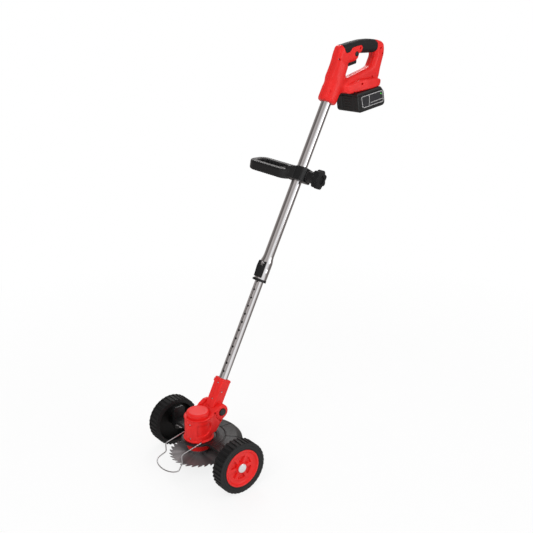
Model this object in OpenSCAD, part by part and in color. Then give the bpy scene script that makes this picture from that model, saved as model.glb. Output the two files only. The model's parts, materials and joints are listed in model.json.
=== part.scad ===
// Wheeled battery lawn edger: toothed blade under a motor head, tilting telescopic pole,
// loop handle and closed D-handle over a slide-on battery.
// X runs across the wheels, the pole leans back towards +Y, and Z is up from the ground.

/* [Pole] */
// Backward lean of the pole from upright, degrees
lean = 26.65; // [25.5:0.05:28]
// Outside diameter of the lower tube
lower_tube_d = 22; // [21:0.1:22.4]
// Outside diameter of the upper tube
upper_tube_d = 26; // [25.8:0.1:26.6]
// Wall thickness of both tubes
tube_wall = 1.2; // [0.8:0.1:1.2]
// Length settings drilled in the lower tube
setting_count = 13; // [4:1:13]
// Distance between two length settings
setting_pitch = 21.8; // [18:0.1:22]

/* [Wheels] */
// Diameter over the tyre lugs
wheel_d = 130; // [128:1:134]
// Width of one wheel
wheel_w = 34.7; // [33:0.1:36]
// Distance between the two wheels' middles
track = 289; // [288:0.5:294]
// Lugs around each tyre
lug_count = 36; // [24:1:44]

/* [Blade] */
// Diameter over the blade's teeth
blade_d = 150; // [140:1:154]
// Thickness of the blade
blade_t = 1.6; // [1:0.1:2]
// Teeth around the blade
tooth_count = 30; // [16:1:40]
// Diameter of the spindle's free end
spindle_d = 8; // [7:0.1:8.4]

/* [Motor head] */
// Diameter of the motor housing barrel
barrel_d = 69; // [68:0.5:72]
// Half width of the two ears that hold the neck
ear_x = 30; // [29:0.5:32]
// Radius of the shield over the blade
shield_r = 109; // [107:0.5:110]

/* [Handles] */
// Width of the D-handle grip
grip_w = 34; // [33:0.5:38]
// Angle between the D-handle's level grip and a line square to the pole
grip_angle = 26.65; // [24:0.05:29]
// Reach of the loop handle from the pole's axis
loop_reach = 140; // [132:1:160]
// Turn of the loop handle forward from straight out to the side, degrees
loop_turn = 17; // [0:1:40]
// Diameter over the star knob's lobes
knob_d = 49; // [44:1:54]

/* [Battery] */
// Width of the battery
battery_w = 79; // [77:0.5:81]
// Reach of the battery behind the foot's front edge
battery_l = 94; // [93:0.5:96]
// Height of the battery below the handle's foot
battery_h = 48; // [46:0.5:50]
// Rearward rise of the battery, degrees
battery_tilt = 10; // [9:0.5:11]

/* [Hidden] */
$fn = 64;

// Colours
red = "#c8141e";
black = "#1c1d20";
soft_black = "#2a2b2e";
steel = "#b9bcc0";
chrome = "#d8dade";
copper = "#b5651d";

// Clearances
slip = 0.05;        // running fit, on the radius
gap = 0.3;          // free gap between moving faces

// Wheels and axles, measured out from the middle
wheel_r = wheel_d / 2;
wheel_in = track / 2 - wheel_w / 2;
wheel_out = track / 2 + wheel_w / 2;
lug_h = 2.4;
axle_r = 6;
axle_thread_r = 4;
arm_in = 112;
arm_out = 124;
web_x = wheel_out - 9.8;

// Motor head
motor_y = -16;
flange_r = 38;
flange_z = 20;
barrel_r = barrel_d / 2;
barrel_top = 80;
cap_z = 80;
cap_r = 29;
cap_top = 93;
cavity_r = 31.5;
can_r = 26;
spindle_r = spindle_d / 2;
bearing_r = 11;
bearing_h = 7;
can_z = [26, 69];
ring_z = [-7, 14];

// Blade stack
blade_top = -20.7;
blade_bottom = blade_top - blade_t;
nut_bottom = blade_bottom - 7.6;
spindle_end = -38;
shaft_r = spindle_d / 2 + 0.5;

// Pole: s runs up the pole's axis, off runs square to it towards the rear
pole_foot_y = -16.6;
pivot_off = 10.2;
pivot_s = 97.3;
pivot_r = 5;
knuckle_r = 18.9;
slot_x = 17.2;
neck_x = 16;
neck_s = [104, 175];
lower_r = lower_tube_d / 2;
upper_r = upper_tube_d / 2;
lower_s = [112, 535];
upper_s = [440, 970];
latch_s = 455.1;
latch_turn = 19;
latch_pin_at = [-18.3, 480.5];
latch_pin_r = 1.2;

// D-handle, in its own level frame at the foot of the stem
stem_s = 911;
stem_r = 24;
half_grip = grip_w / 2;
handle_wall = 3;
handle_round = 12;
battery_at = [78.4, -28.2];
foot_z = battery_h + gap;
trigger_at = [82, 105.5];
trigger_pin_r = 1.8;
lock_at = [84.4, 114.6];
lock_r = 5.6;

// Loop handle
loop_s = 720.6;
loop_block = [-18, 17];
liner_r = 14.9;

// Front and rear reach, which centre the whole machine on the origin
guard_wire_r = 1.5;
guard_front_y = -127;
handle_rear = [190.9, 124.8];

function pole_pt(off, s) =
    [pole_foot_y + s * sin(lean) + off * cos(lean), s * cos(lean) - off * sin(lean)];
function turned(p, a) = [p[0] * cos(a) - p[1] * sin(a), p[0] * sin(a) + p[1] * cos(a)];
function handle_pt(p) = pole_pt(0, stem_s) + turned(p, grip_angle - lean);

rear_y = handle_pt(handle_rear)[0];
mid_y = (rear_y + guard_front_y - guard_wire_r) / 2;
pivot_yz = pole_pt(pivot_off, pivot_s);

// ---------------------------------------------------------------- placing helpers

// From the axle's frame to the ground under the machine's middle
module stand() {
    translate([0, -mid_y, wheel_r]) children();
}

module on_pole(s = 0) {
    translate([0, pole_foot_y, 0]) rotate([-lean, 0, 0]) translate([0, 0, s]) children();
}

module at_motor(z = 0) {
    translate([0, motor_y, z]) children();
}

module at_handle() {
    on_pole(stem_s) rotate([grip_angle, 0, 0]) children();
}

// From the D-handle's frame to the battery's own
module at_battery() {
    translate([0, battery_at[0], battery_at[1]]) rotate([battery_tilt, 0, 0]) children();
}

module at_loop() {
    on_pole(loop_s) rotate([0, 0, 180 + loop_turn]) children();
}

module at_latch() {
    rotate([0, 0, latch_turn]) children();
}

// A side view, drawn in Y and Z, made solid from x0 to x1
module slab(x0, x1) {
    translate([x0, 0, 0]) rotate([90, 0, 90]) linear_extrude(x1 - x0) children();
}

// A round bar along X from x0 to x1 through a point of the side view
module bar_x(at, x0, x1, r) {
    translate([x0, at[0], at[1]]) rotate([0, 90, 0]) cylinder(r = r, h = x1 - x0);
}

// A profile of radius and x, turned about the X axis
module lathe_x() {
    rotate([0, 90, 0]) rotate_extrude($fn = 96) children();
}

module pipe(h, ro, ri) {
    difference() {
        cylinder(r = ro, h = h);
        translate([0, 0, -1]) cylinder(r = ri, h = h + 2);
    }
}

// side is +1 for the left half or part, which lies at +X, and -1 for the right one
module on_side(side) {
    if (side > 0) children();
    else mirror([1, 0, 0]) children();
}

module half(side) {
    intersection() {
        children();
        translate([side > 0 ? 0 : -500, -500, -500]) cube([500, 2000, 2500]);
    }
}

// A round wire wound about Z from z = 0
module coil(r, wire_r, pitch, turns) {
    sides = 6;
    steps = 14;
    rings = steps * turns;
    points = [
        for (i = [0:rings]) let (a = 360 * i / steps, z = pitch * i / steps)
            for (j = [0:sides - 1]) let (b = 360 * j / sides, rr = r + wire_r * cos(b))
                [rr * cos(a), rr * sin(a), z + wire_r * sin(b)]
    ];
    walls = [
        for (i = [0:rings - 1]) for (j = [0:sides - 1]) let (k = (j + 1) % sides)
            [i * sides + j, i * sides + k, (i + 1) * sides + k, (i + 1) * sides + j]
    ];
    ends = [
        [for (j = [0:sides - 1]) sides - 1 - j],
        [for (j = [0:sides - 1]) rings * sides + j]
    ];
    polyhedron(points, concat(walls, ends), convexity = 6);
}

function unit(v) = v / norm(v);
function heading(path, i) =
    unit(path[min(i + 1, len(path) - 1)] - path[max(i - 1, 0)]);

// A polyline with each inner corner rounded by a short curve that starts r before it
function bent(path, r) = [
    for (i = [0:len(path) - 1])
        if (i == 0 || i == len(path) - 1) path[i]
        else let (
            before = min(r, norm(path[i] - path[i - 1]) / 2),
            after = min(r, norm(path[i + 1] - path[i]) / 2),
            a = path[i] + before * unit(path[i - 1] - path[i]),
            b = path[i] + after * unit(path[i + 1] - path[i])
        ) each [for (t = [0:0.25:1]) (1 - t) * (1 - t) * a + 2 * t * (1 - t) * path[i] + t * t * b]
];

// Directions square to a path, carried along it without twisting
function carried(path) = [
    for (i = 0, n = unit(cross(heading(path, 0), [0.1, 0.3, 1])); i < len(path);
        i = i + 1,
        n = i < len(path) ? unit(n - (n * heading(path, i)) * heading(path, i)) : n) n
];

// A round rod swept along a path
module rod(path, r, sides) {
    normals = carried(path);
    last = len(path) - 1;
    points = [
        for (i = [0:last]) let (n = normals[i], m = cross(heading(path, i), n))
            for (j = [0:sides - 1]) let (b = 360 * j / sides)
                path[i] + r * (cos(b) * n + sin(b) * m)
    ];
    walls = [
        for (i = [0:last - 1]) for (j = [0:sides - 1]) let (k = (j + 1) % sides)
            each [[i * sides + k, i * sides + j, (i + 1) * sides + j],
                [i * sides + k, (i + 1) * sides + j, (i + 1) * sides + k]]
    ];
    ends = [
        [for (j = [0:sides - 1]) j],
        [for (j = [0:sides - 1]) last * sides + sides - 1 - j]
    ];
    polyhedron(points, concat(walls, ends), convexity = 6);
}

// ---------------------------------------------------------------- motor head

screw_r = 1.5;
screw_head_r = 3;
// Side screws of the head, which draw the two shells together
head_screws = [[15, 85.5], [30, 60.5]];
// Heights of the two front screws and their turn from straight ahead
front_screw_z = [29, 67];
front_screw_turn = 19;
hinge_lug = [-33, 23.5];

module ear_outline() {
    polygon([[-16, 30], [18, 34], [30, 50], [45, 67], [55, 80], [50, 96], [36, 102.4],
        [24, 98.5], [11, 88.5], [0, 79], [-16, 75]]);
    translate(pivot_yz) circle(r = 20);
}

// Side view of the room that the neck sweeps as it tilts back
module neck_slot_outline() {
    front_low = pole_pt(-13.9, 103.5);
    front_high = pole_pt(-13.9, 190);
    translate(pivot_yz) circle(r = knuckle_r + 0.4);
    polygon([front_low, front_high, [300, 190], [300, 63.1], [pivot_yz[0], 63.1], pivot_yz]);
}

module head_solid() {
    at_motor(flange_z) cylinder(r = flange_r, h = 4);
    at_motor(flange_z) cylinder(r = barrel_r, h = barrel_top - flange_z);
    at_motor(barrel_top - 2) cylinder(r = barrel_r + 1.2, h = 2);
    slab(-ear_x, ear_x) ear_outline();
    for (side = [-1, 1]) on_side(side)
        translate([26, hinge_lug[0] - 4, flange_z]) cube([8, 8, 7]);
}

module side_screw_room() {
    for (at = head_screws) {
        bar_x(at, -20, 27, screw_r);
        bar_x(at, 26, 40, screw_head_r);
    }
}

module front_screw(z, r0, r1, r) {
    at_motor(z) rotate([0, 90, -90 + front_screw_turn]) translate([0, 0, r0])
        cylinder(r = r, h = r1 - r0);
}

module head_shell(side) {
    half(side) difference() {
        head_solid();
        slab(-slot_x, slot_x) neck_slot_outline();
        at_motor(flange_z - 1) cylinder(r = 14, h = 10);
        at_motor(can_z[0]) cylinder(r = cavity_r, h = barrel_top - 4 - can_z[0]);
        at_motor(70) cylinder(r = 24, h = 20);
        at_motor(cap_z) cylinder(r = cap_r + 0.2, h = 40);
        bar_x(pivot_yz, -ear_x - 1, ear_x + 1, pivot_r);
        bar_x(pivot_yz, 19.5, ear_x + 1, 9 + gap);
        side_screw_room();
        for (z = front_screw_z) {
            front_screw(z, 20, 40, screw_r);
            front_screw(z, barrel_r - 1.5, 45, screw_head_r);
        }
        for (s = [-1, 1]) on_side(s) bar_x(hinge_lug, 27.5, 40, guard_wire_r + slip);
    }
}

module head_shell_left() {
    color(red) stand() head_shell(1);
}

module head_shell_right() {
    color(red) stand() head_shell(-1);
}

module motor_cap() {
    color(red) stand() at_motor() difference() {
        union() {
            rotate_extrude() polygon([[0, cap_z], [cap_r, cap_z], [cap_r, cap_top - 4.5],
                [cap_r - 1.2, cap_top - 1.8], [cap_r - 4, cap_top], [0, cap_top]]);
            translate([0, 0, 74]) cylinder(r = 23.9, h = 7);
        }
        translate([0, 0, 70]) cylinder(r = 21, h = 20);
    }
}

module housing_screws() {
    color(steel) stand() {
        for (at = head_screws) {
            bar_x(at, -15, 26, screw_r);
            bar_x(at, 26, 27.8, screw_head_r - 0.2);
        }
        for (z = front_screw_z) {
            front_screw(z, 31.8, barrel_r - 1.4, screw_r);
            front_screw(z, barrel_r - 1.5, barrel_r - 0.2, screw_head_r - 0.2);
        }
    }
}

module motor_can() {
    color(steel) stand() at_motor() difference() {
        union() {
            translate([0, 0, can_z[0]]) cylinder(r = can_r, h = can_z[1] - can_z[0]);
            for (z = [can_z[0], can_z[1] - 3])
                translate([0, 0, z]) cylinder(r = cavity_r - 0.1, h = 3);
        }
        translate([0, 0, can_z[0] + 2]) cylinder(r = can_r - 2, h = can_z[1] - can_z[0] - 11.5);
        translate([0, 0, can_z[1] - bearing_h - 2]) cylinder(r = bearing_r, h = bearing_h);
        translate([0, 0, 0]) cylinder(r = 7, h = 100);
    }
}

module spindle_bearings() {
    color(steel) stand() at_motor()
        for (z = [ring_z[0], can_z[1] - bearing_h - 2])
            translate([0, 0, z]) pipe(bearing_h, bearing_r, shaft_r + slip);
}

module spindle_ring() {
    h = ring_z[1] - ring_z[0];
    color(red) stand() at_motor(ring_z[0]) difference() {
        cylinder(r1 = 29.5, r2 = 34, h = h);
        translate([0, 0, bearing_h + 3]) cylinder(r = 26, h = h);
        translate([0, 0, -1]) cylinder(r = bearing_r, h = bearing_h + 1);
        translate([0, 0, -1]) cylinder(r = 7, h = h);
    }
}

module shield_profile() {
    polygon([[44, 17], [64, 17.6], [94, 14.6], [102, 11], [shield_r - 3, 6],
        [shield_r - 3, -12], [shield_r, -12], [shield_r, 7], [105, 14.4], [95, 18],
        [64, 20.8], [44, 21.8]]);
}

shield_front_y = -22;
skirt_front_y = 22;

module guard_shield() {
    color(black) stand() {
        difference() {
            union() {
                at_motor() rotate_extrude($fn = 96) shield_profile();
                for (side = [-1, 1]) on_side(side)
                    translate([62, shield_front_y, 16.8]) cube([arm_in - 62, 40, 3.2]);
            }
            translate([-200, shield_front_y - 200, -50]) cube([400, 200, 100]);
            for (side = [-1, 1]) on_side(side)
                translate([95, -60, -20]) cube([40, 60 + skirt_front_y, 36]);
        }
        difference() {
            at_motor(14) cylinder(r = 44, h = flange_z - 14);
            at_motor(10) cylinder(r = 14, h = 20);
        }
    }
}

module arm_outline() {
    difference() {
        union() {
            polygon([[-16, -4], [-11, -12], [11, -12], [16, -4], [16, 45], [11, 50],
                [-11, 50], [-16, 45]]);
        }
        circle(r = axle_thread_r + slip);
    }
}

module wheel_arm() {
    difference() {
        slab(arm_in, arm_out) arm_outline();
        translate([arm_in + 4, -8, 27]) cube([20, 16, 16]);
    }
}

module wheel_arm_left() {
    color(black) stand() wheel_arm();
}

module wheel_arm_right() {
    color(black) stand() on_side(-1) wheel_arm();
}

module axle() {
    bar_x([0, 0], 99, arm_out, axle_thread_r);
    bar_x([0, 0], arm_out, web_x + gap, axle_r);
    bar_x([0, 0], web_x + gap, web_x + 4, 8);
}

module axle_left() {
    color(steel) stand() axle();
}

module axle_right() {
    color(steel) stand() on_side(-1) axle();
}

module wing_nut() {
    difference() {
        union() {
            translate([arm_in - 8, 0, 0]) rotate([0, 90, 0]) cylinder(r = 9, h = 8, $fn = 6);
            slab(arm_in - 7, arm_in - 3) polygon([[-17, 4], [-14, 7], [14, -2], [17, -4],
                [14, -7], [-14, 2]]);
        }
        bar_x([0, 0], 90, 120, axle_thread_r);
    }
}

module wing_nuts() {
    color(steel) stand() for (side = [-1, 1]) on_side(side) wing_nut();
}

module pivot_pin() {
    color(steel) stand() bar_x(pivot_yz, -ear_x + 1, 19.5, pivot_r);
}

// ---------------------------------------------------------------- pivot lock button

module button_spring() {
    color(steel) stand() translate([19.7, pivot_yz[0], pivot_yz[1]]) rotate([0, 90, 0])
        translate([0, 0, 0.4]) coil(5.2, 0.35, 0.85, 2);
}

module pivot_button() {
    color(black) stand() {
        bar_x(pivot_yz, 26.2, 32, 9);
        translate([32, pivot_yz[0], pivot_yz[1]]) rotate([0, 90, 0])
            cylinder(r1 = 9, r2 = 8, h = 1);
    }
}

// ---------------------------------------------------------------- rotor and blade

module spindle() {
    color(steel) stand() at_motor() {
        translate([0, 0, nut_bottom]) cylinder(r = shaft_r, h = 67 - nut_bottom);
        translate([0, 0, spindle_end]) cylinder(r = spindle_r, h = nut_bottom - spindle_end + 1);
    }
}

module armature() {
    color(copper) stand() at_motor(32) pipe(24, 20, shaft_r);
}

spigot_r = 10;

module blade_flange() {
    color(soft_black) stand() at_motor() difference() {
        union() {
            translate([0, 0, blade_top]) cylinder(r = 20, h = 4);
            translate([0, 0, blade_top + 4]) cylinder(r1 = 20, r2 = 24, h = 8);
            translate([0, 0, blade_bottom]) cylinder(r = spigot_r, h = blade_t);
        }
        translate([0, 0, -40]) cylinder(r = shaft_r, h = 60);
    }
}

// One raked tooth in polar steps: a steep cutting face and a long curved back
module blade_outline() {
    step = 360 / tooth_count;
    tip_r = blade_d / 2;
    root_r = tip_r - 8;
    polygon([
        for (i = [0:tooth_count - 1]) let (a = i * step)
            for (p = [[root_r, 0], [tip_r - 2.5, 0.02], [tip_r, -0.06], [tip_r - 0.6, 0.16],
                [tip_r - 3.4, 0.5], [root_r + 1.2, 0.78]])
                p[0] * [cos(a + p[1] * step), sin(a + p[1] * step)]
    ]);
}

module saw_blade() {
    color(chrome) stand() at_motor(blade_bottom) difference() {
        linear_extrude(blade_t) blade_outline();
        translate([0, 0, -1]) cylinder(r = spigot_r, h = blade_t + 2);
    }
}

module blade_nut() {
    color(steel) stand() at_motor() difference() {
        union() {
            translate([0, 0, blade_bottom - 1.8]) cylinder(r = 16, h = 1.8);
            translate([0, 0, nut_bottom]) cylinder(r = 8, h = 5.9, $fn = 6);
        }
        translate([0, 0, -40]) cylinder(r = shaft_r, h = 30);
    }
}

// ---------------------------------------------------------------- wheels

lip_r = 47.5;
drum_r = 52.5;
tread_out = wheel_out - 4.2;

module wheel() {
    lathe_x() polygon([[axle_r + slip, arm_out + 1], [12, arm_out + 1], [12, web_x - 3],
        [drum_r, web_x - 3], [drum_r, wheel_in], [wheel_r - lug_h, wheel_in],
        [wheel_r - lug_h, tread_out], [wheel_r, tread_out], [wheel_r, wheel_out - 2.2],
        [wheel_r - 1.4, wheel_out - 0.8], [lip_r, wheel_out - 0.8], [lip_r, web_x],
        [axle_r + slip, web_x]]);
    translate([wheel_in, 0, 0]) rotate([0, 90, 0]) linear_extrude(tread_out - wheel_in + 0.5)
        for (i = [0:lug_count - 1]) rotate(i * 360 / lug_count)
            translate([wheel_r - lug_h - 1, -2.2]) square([lug_h + 0.9, 4.4]);
}

module wheel_left() {
    color(black) stand() wheel();
}

module wheel_right() {
    color(black) stand() on_side(-1) wheel();
}

module hub_star() {
    difference() {
        circle(r = 28);
        for (i = [0:5]) rotate(60 * i) {
            polygon([[13.5, -3.4], [24.5, -9], [24.5, 9], [13.5, 3.4]]);
        }
    }
}

module hub_cover() {
    difference() {
        union() {
            lathe_x() polygon([[9.6, web_x], [lip_r, web_x], [lip_r, wheel_out - 1],
                [lip_r - 1, wheel_out], [lip_r - 3, wheel_out], [lip_r - 4, wheel_out - 1],
                [lip_r - 6, web_x + 3], [9.6, web_x + 3]]);
            translate([web_x + 2.9, 0, 0]) rotate([0, 90, 0]) linear_extrude(3.6) hub_star();
            translate([web_x + 2.9, 0, 0]) rotate([0, 90, 0]) cylinder(r = 13, h = 3.6);
        }
        bar_x([0, 0], web_x - 1, wheel_out, 9.6);
    }
}

module hub_cover_left() {
    color(red) stand() hub_cover();
}

module hub_cover_right() {
    color(red) stand() on_side(-1) hub_cover();
}

module hub_cap() {
    lathe_x() polygon([[0, web_x + 6.5], [8.4, web_x + 6.5], [8.4, web_x + 5], [9.6, web_x + 5],
        [9.6, web_x + 6.5], [11.5, web_x + 6.5], [11.5, web_x + 7.8], [10.6, web_x + 8.8],
        [0, web_x + 9.2]]);
}

module hub_cap_left() {
    color(chrome) stand() hub_cap();
}

module hub_cap_right() {
    color(chrome) stand() on_side(-1) hub_cap();
}

// ---------------------------------------------------------------- front wire guard

guard_leg = [[34, -33, 23.5], [36.4, -33, 23.5], [36.4, -91, 11.5], [36.4, -90, -12.5],
    [43, -104, -23]];
guard_bend_r = 5;
guard_steps = 6;
guard_bow = [
    for (i = [1:guard_steps]) let (a = 90 * i / guard_steps)
        [43 * cos(a), -104 + (guard_front_y + 104) * sin(a), -23 - 4 * sin(a)]
];
// The left half of the wire from its hinge pin to the front, then the right half
guard_half = concat(bent(guard_leg, guard_bend_r), guard_bow);
guard_path = concat(guard_half, [
    for (i = [len(guard_half) - 2:-1:0]) [-guard_half[i][0], guard_half[i][1], guard_half[i][2]]
]);

module wire_guard() {
    color(steel) stand() {
        rod(guard_path, guard_wire_r - slip, 10);
        for (side = [-1, 1]) on_side(side) bar_x(hinge_lug, 28, 34.5, guard_wire_r);
    }
}

// ---------------------------------------------------------------- neck and lower tube

neck_round = 4.5;
neck_front = -13.5;
neck_rear = 15.5;
// Set screws that hold the tube: one in the left side, two in the front
neck_side_screw = [-1.3, 142.7];
neck_front_screw_x = 2.5;
neck_front_screw_s = [119.3, 162];

module neck_section() {
    r = neck_round;
    for (x = [-neck_x + r, neck_x - r]) for (y = [neck_front + r, neck_rear - r])
        translate([x, y]) circle(r = r);
    translate([-neck_x + r, neck_front]) square([2 * neck_x - 2 * r, neck_rear - neck_front]);
    translate([-neck_x, neck_front + r]) square([2 * neck_x, neck_rear - neck_front - 2 * r]);
}

module neck_solid() {
    translate([0, 0, neck_s[0]]) linear_extrude(neck_s[1] - neck_s[0]) neck_section();
    // small lug on the front right edge below the mouth
    translate([-neck_x - 1.5, neck_front + 0.5, neck_s[1] - 14]) cube([6, 6, 8]);
    bar_x([pivot_off, pivot_s], -slot_x + 0.4, slot_x - 0.4, knuckle_r);
}

// A round bar square to the neck's front face, between two depths ahead of the axis
module neck_front_screw(s, near, far, r) {
    translate([neck_front_screw_x, -near, s]) rotate([90, 0, 0]) cylinder(r = r, h = far - near);
}

module neck_shell(side) {
    half(side) on_pole() difference() {
        neck_solid();
        translate([0, 0, lower_s[0]]) cylinder(r = lower_r, h = 100);
        translate([0, 0, lower_s[0] - 8]) cylinder(r = 4, h = 20);
        bar_x([pivot_off, pivot_s], -40, 40, pivot_r + slip);
        bar_x(neck_side_screw, 0, 14, 1.1);
        bar_x(neck_side_screw, 14, 40, 2);
        for (s = neck_front_screw_s) {
            neck_front_screw(s, 0, 12.3, 1.1);
            neck_front_screw(s, 12.3, 20, 2);
        }
    }
}

module neck_shell_left() {
    color(red) stand() neck_shell(1);
}

module neck_shell_right() {
    color(red) stand() neck_shell(-1);
}

module neck_screws() {
    color(steel) stand() on_pole() {
        bar_x(neck_side_screw, 11.3, 14, 1.1);
        bar_x(neck_side_screw, 14, 16.4, 1.9);
        for (s = neck_front_screw_s) {
            neck_front_screw(s, 11.1, 12.3, 1.1);
            neck_front_screw(s, 12.3, 13.9, 1.9);
        }
    }
}

module setting_holes(count, s, r) {
    for (i = [0:count - 1]) rotate([0, 0, latch_turn]) translate([0, 0, s - i * setting_pitch])
        rotate([90, 0, 0]) cylinder(r = r, h = 30);
}

module lower_tube() {
    color(steel) stand() on_pole() difference() {
        translate([0, 0, lower_s[0]])
            pipe(lower_s[1] - lower_s[0], lower_r, lower_r - tube_wall);
        setting_holes(setting_count, latch_s, 2.8);
    }
}

module tube_bush() {
    color(black) stand() on_pole(lower_s[1] - 20)
        pipe(20, upper_r - tube_wall - slip, lower_r);
}

module motor_lead() {
    color(soft_black) stand() on_pole(lower_s[0] + 1)
        cylinder(r = 3, h = lower_s[1] - lower_s[0] - 10);
}

// ---------------------------------------------------------------- upper tube and collar

module upper_tube() {
    color(steel) stand() on_pole() difference() {
        translate([0, 0, upper_s[0]])
            pipe(upper_s[1] - upper_s[0], upper_r, upper_r - tube_wall);
        setting_holes(1, latch_s, 3.4);
    }
}

module collar_sleeve() {
    color(chrome) stand() on_pole() difference() {
        union() {
            rotate_extrude() polygon([[upper_r, upper_s[0]], [16, upper_s[0]], [16, 483],
                [upper_r + 0.6, 500], [upper_r, 500]]);
            at_latch() slab(-4, 4) polygon([[-15, 474], [-19.6, 477], [-20.2, 480.5],
                [-19.4, 483], [-14, 485]]);
        }
        at_latch() bar_x(latch_pin_at, -20, 20, latch_pin_r);
        cylinder(r = upper_r, h = 600);
        setting_holes(1, latch_s, 3.4);
    }
}

module collar_ring() {
    color(black) stand() on_pole(434) difference() {
        union() {
            cylinder(r = 16.5, h = 6);
            rotate([0, 0, latch_turn - 42]) translate([0, -15, 3]) rotate([90, 0, 0])
                cylinder(r = 2.5, h = 4.5);
        }
        translate([0, 0, -1]) cylinder(r = lower_r + slip, h = 8);
    }
}

module latch_pin() {
    color(steel) stand() on_pole() at_latch() bar_x(latch_pin_at, -10.4, 10.4, latch_pin_r);
}

module latch_spring() {
    color(steel) stand() on_pole() at_latch() translate([4.6, latch_pin_at[0], latch_pin_at[1]])
        rotate([0, 90, 0]) translate([0, 0, 0.4]) coil(1.7, 0.3, 0.9, 2);
}

module latch_lever() {
    color(black) stand() on_pole() at_latch() {
        difference() {
            slab(-11, 11) polygon([[-17.3, 484.4], [-18.6, 485.5], [-20.4, 481.5],
                [-21.8, 470], [-18.4, 444], [-16.6, 444]]);
            slab(-4.3, 4.3) polygon([[-10, 473], [-25, 473], [-25, 490], [-10, 490]]);
            slab(4.2, 7.5) translate(latch_pin_at) circle(r = 2.4);
            bar_x(latch_pin_at, -10.5, 10.5, latch_pin_r + slip);
        }
        translate([0, -17, latch_s]) rotate([-90, 0, 0])
            cylinder(r = 2.2, h = 17 - lower_r - gap);
    }
}

// ---------------------------------------------------------------- D-handle

// Side view of the whole handle, stem, grip, rear arm and lower arm together
module handle_outline() {
    polygon([[5, 60], [18.5, 90.3], [27.5, 119.3], [34.6, 133.6], [40, 137], [49.4, 138.5],
        [70.9, 142.8], [104.9, 148.4], [136.9, 149.8], [164.9, 146.9], [180.9, 142.8],
        [188, 137], handle_rear, [189.9, 109.8], [185.9, 97.8], [178.5, 73.8],
        [172, 52], [150, 42], [100, 33], [60, 28], [34, 22]]);
}

// Finger opening between grip, switch block, lower arm and rear arm
module opening_outline() {
    polygon([[51, 66], [53.9, 61.8], [59.9, 56.8], [64, 58], [131.9, 78.8], [138.9, 82.8],
        [148.9, 107.8], [148.9, 115.3], [96.9, 115.3], [91.9, 101.8], [84.9, 98.4], [64, 94]]);
}

module foot_solid() {
    at_battery() intersection() {
        slab(-60, 60) polygon([[-24, foot_z + 8], [-12, foot_z + 1], [-2, foot_z],
            [94, foot_z], [99, foot_z + 4], [100, foot_z + 14], [66, foot_z + 24],
            [20, foot_z + 28], [-20, foot_z + 22]]);
        translate([0, 0, foot_z - 5]) linear_extrude(60)
            polygon([[-16, -30], [16, -30], [23, -18], [28, 10], [34, 45], [36, 84],
                [31, 96], [20, 102], [-20, 102], [-31, 96], [-36, 84], [-34, 45],
                [-28, 10], [-23, -18]]);
    }
}

// A round room about the pole's axis
module stem_bore(r, s0, s1) {
    rotate([-grip_angle, 0, 0]) translate([0, 0, s0]) cylinder(r = r, h = s1 - s0);
}

// The handle's frame drawn in by inset all round, with its edges stepped round to
// the edge radius: the wider a layer is, the smaller its outline
module handle_frame(inset = 0) {
    steps = 5;
    r = handle_round - inset;
    for (i = [0:steps]) {
        x = half_grip - handle_round + r * sin(90 * i / steps);
        slab(-x, x) offset(delta = r * cos(90 * i / steps) - handle_round) difference() {
            handle_outline();
            opening_outline();
        }
    }
}

// The stem about the tube, its lower rim rounded over, tapering into the grip's front
module stem_body() {
    rotate([-grip_angle, 0, 0]) rotate_extrude() polygon([[0, 0], [stem_r - 5, 0],
        [stem_r - 1.6, 1.8], [stem_r, 6], [stem_r, 34], [half_grip, 98], [0, 98]]);
}

module handle_solid() {
    handle_frame();
    stem_body();
    foot_solid();
    bar_x(lock_at, 0, half_grip + 0.6, 7.6);
}

// Rails of the battery slide into the foot from behind
rail_x = 26;
rail_h = 8;

module grip_cover_outline() {
    polygon([[41.9, 130.4], [48.9, 116.8], [62.9, 119.8], [68.9, 129.8], [85.5, 133.4],
        [101.2, 135.8], [105.9, 129.8], [102.9, 120.8], [104, 110], [144.4, 110],
        [144.4, 115.4], [156.9, 123.8], [159.6, 135.6], [150.9, 160], [40, 160]]);
}

cover_t = 2.4;

module handle_cavity() {
    // room for the switch and the grip's core
    slab(-half_grip + 5.5, half_grip - 5.5) polygon([[40, 100], [84, 105], [93, 118.5],
        [150, 118.5], [160, 128], [155, 141], [137, 144], [105, 142.6], [71, 137],
        [45, 131], [36, 118]]);
    // room inside the rear arm
    slab(-half_grip + 3, half_grip - 3) polygon([[153, 120], [185, 122], [184, 111],
        [180, 99], [170, 66], [144, 66], [152, 106]]);
    // room inside the foot over the rails
    at_battery() slab(-22, 22) polygon([[2, foot_z + rail_h + 3], [90, foot_z + rail_h + 3],
        [90, foot_z + rail_h + 12], [10, foot_z + rail_h + 14]]);
    // rail channel, open behind and below
    at_battery() translate([-rail_x - gap, -gap, foot_z - 5])
        cube([2 * rail_x + 2 * gap, 160, rail_h + 5]);
    // tube socket and the hollow stem about it
    stem_bore(upper_r, -1, upper_s[1] - stem_s);
    stem_bore(stem_r - handle_wall, 14, 46);
    stem_bore(8, 40, 72);
}

module trigger_outline() {
    polygon([[53, 97], [55.9, 77.8], [58, 78.6], [64.9, 84.3], [84, 88.6], [93.4, 90.8],
        [94.6, 95.8], [93, 103], [86, 109], [78, 109], [60, 103]]);
}

module trigger_room() {
    slab(-7.4, 7.4) polygon([[50.5, 74], [50.5, 110], [60, 116], [88, 114], [96, 108],
        [97, 92], [60, 74]]);
}

handle_screw_at = [[28.5, 103.1], [171, 126], [98, 128.5], [178, 112]];
foot_screw_at = [[92, 42], [142, 56]];

module handle_screw_room() {
    for (at = handle_screw_at) {
        bar_x(at, -10, 10, screw_r);
        bar_x(at, 9.5, 40, screw_head_r);
    }
    for (at = foot_screw_at) {
        bar_x(at, -20, 19.5, screw_r);
        bar_x(at, 19, 50, screw_head_r);
    }
}

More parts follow.
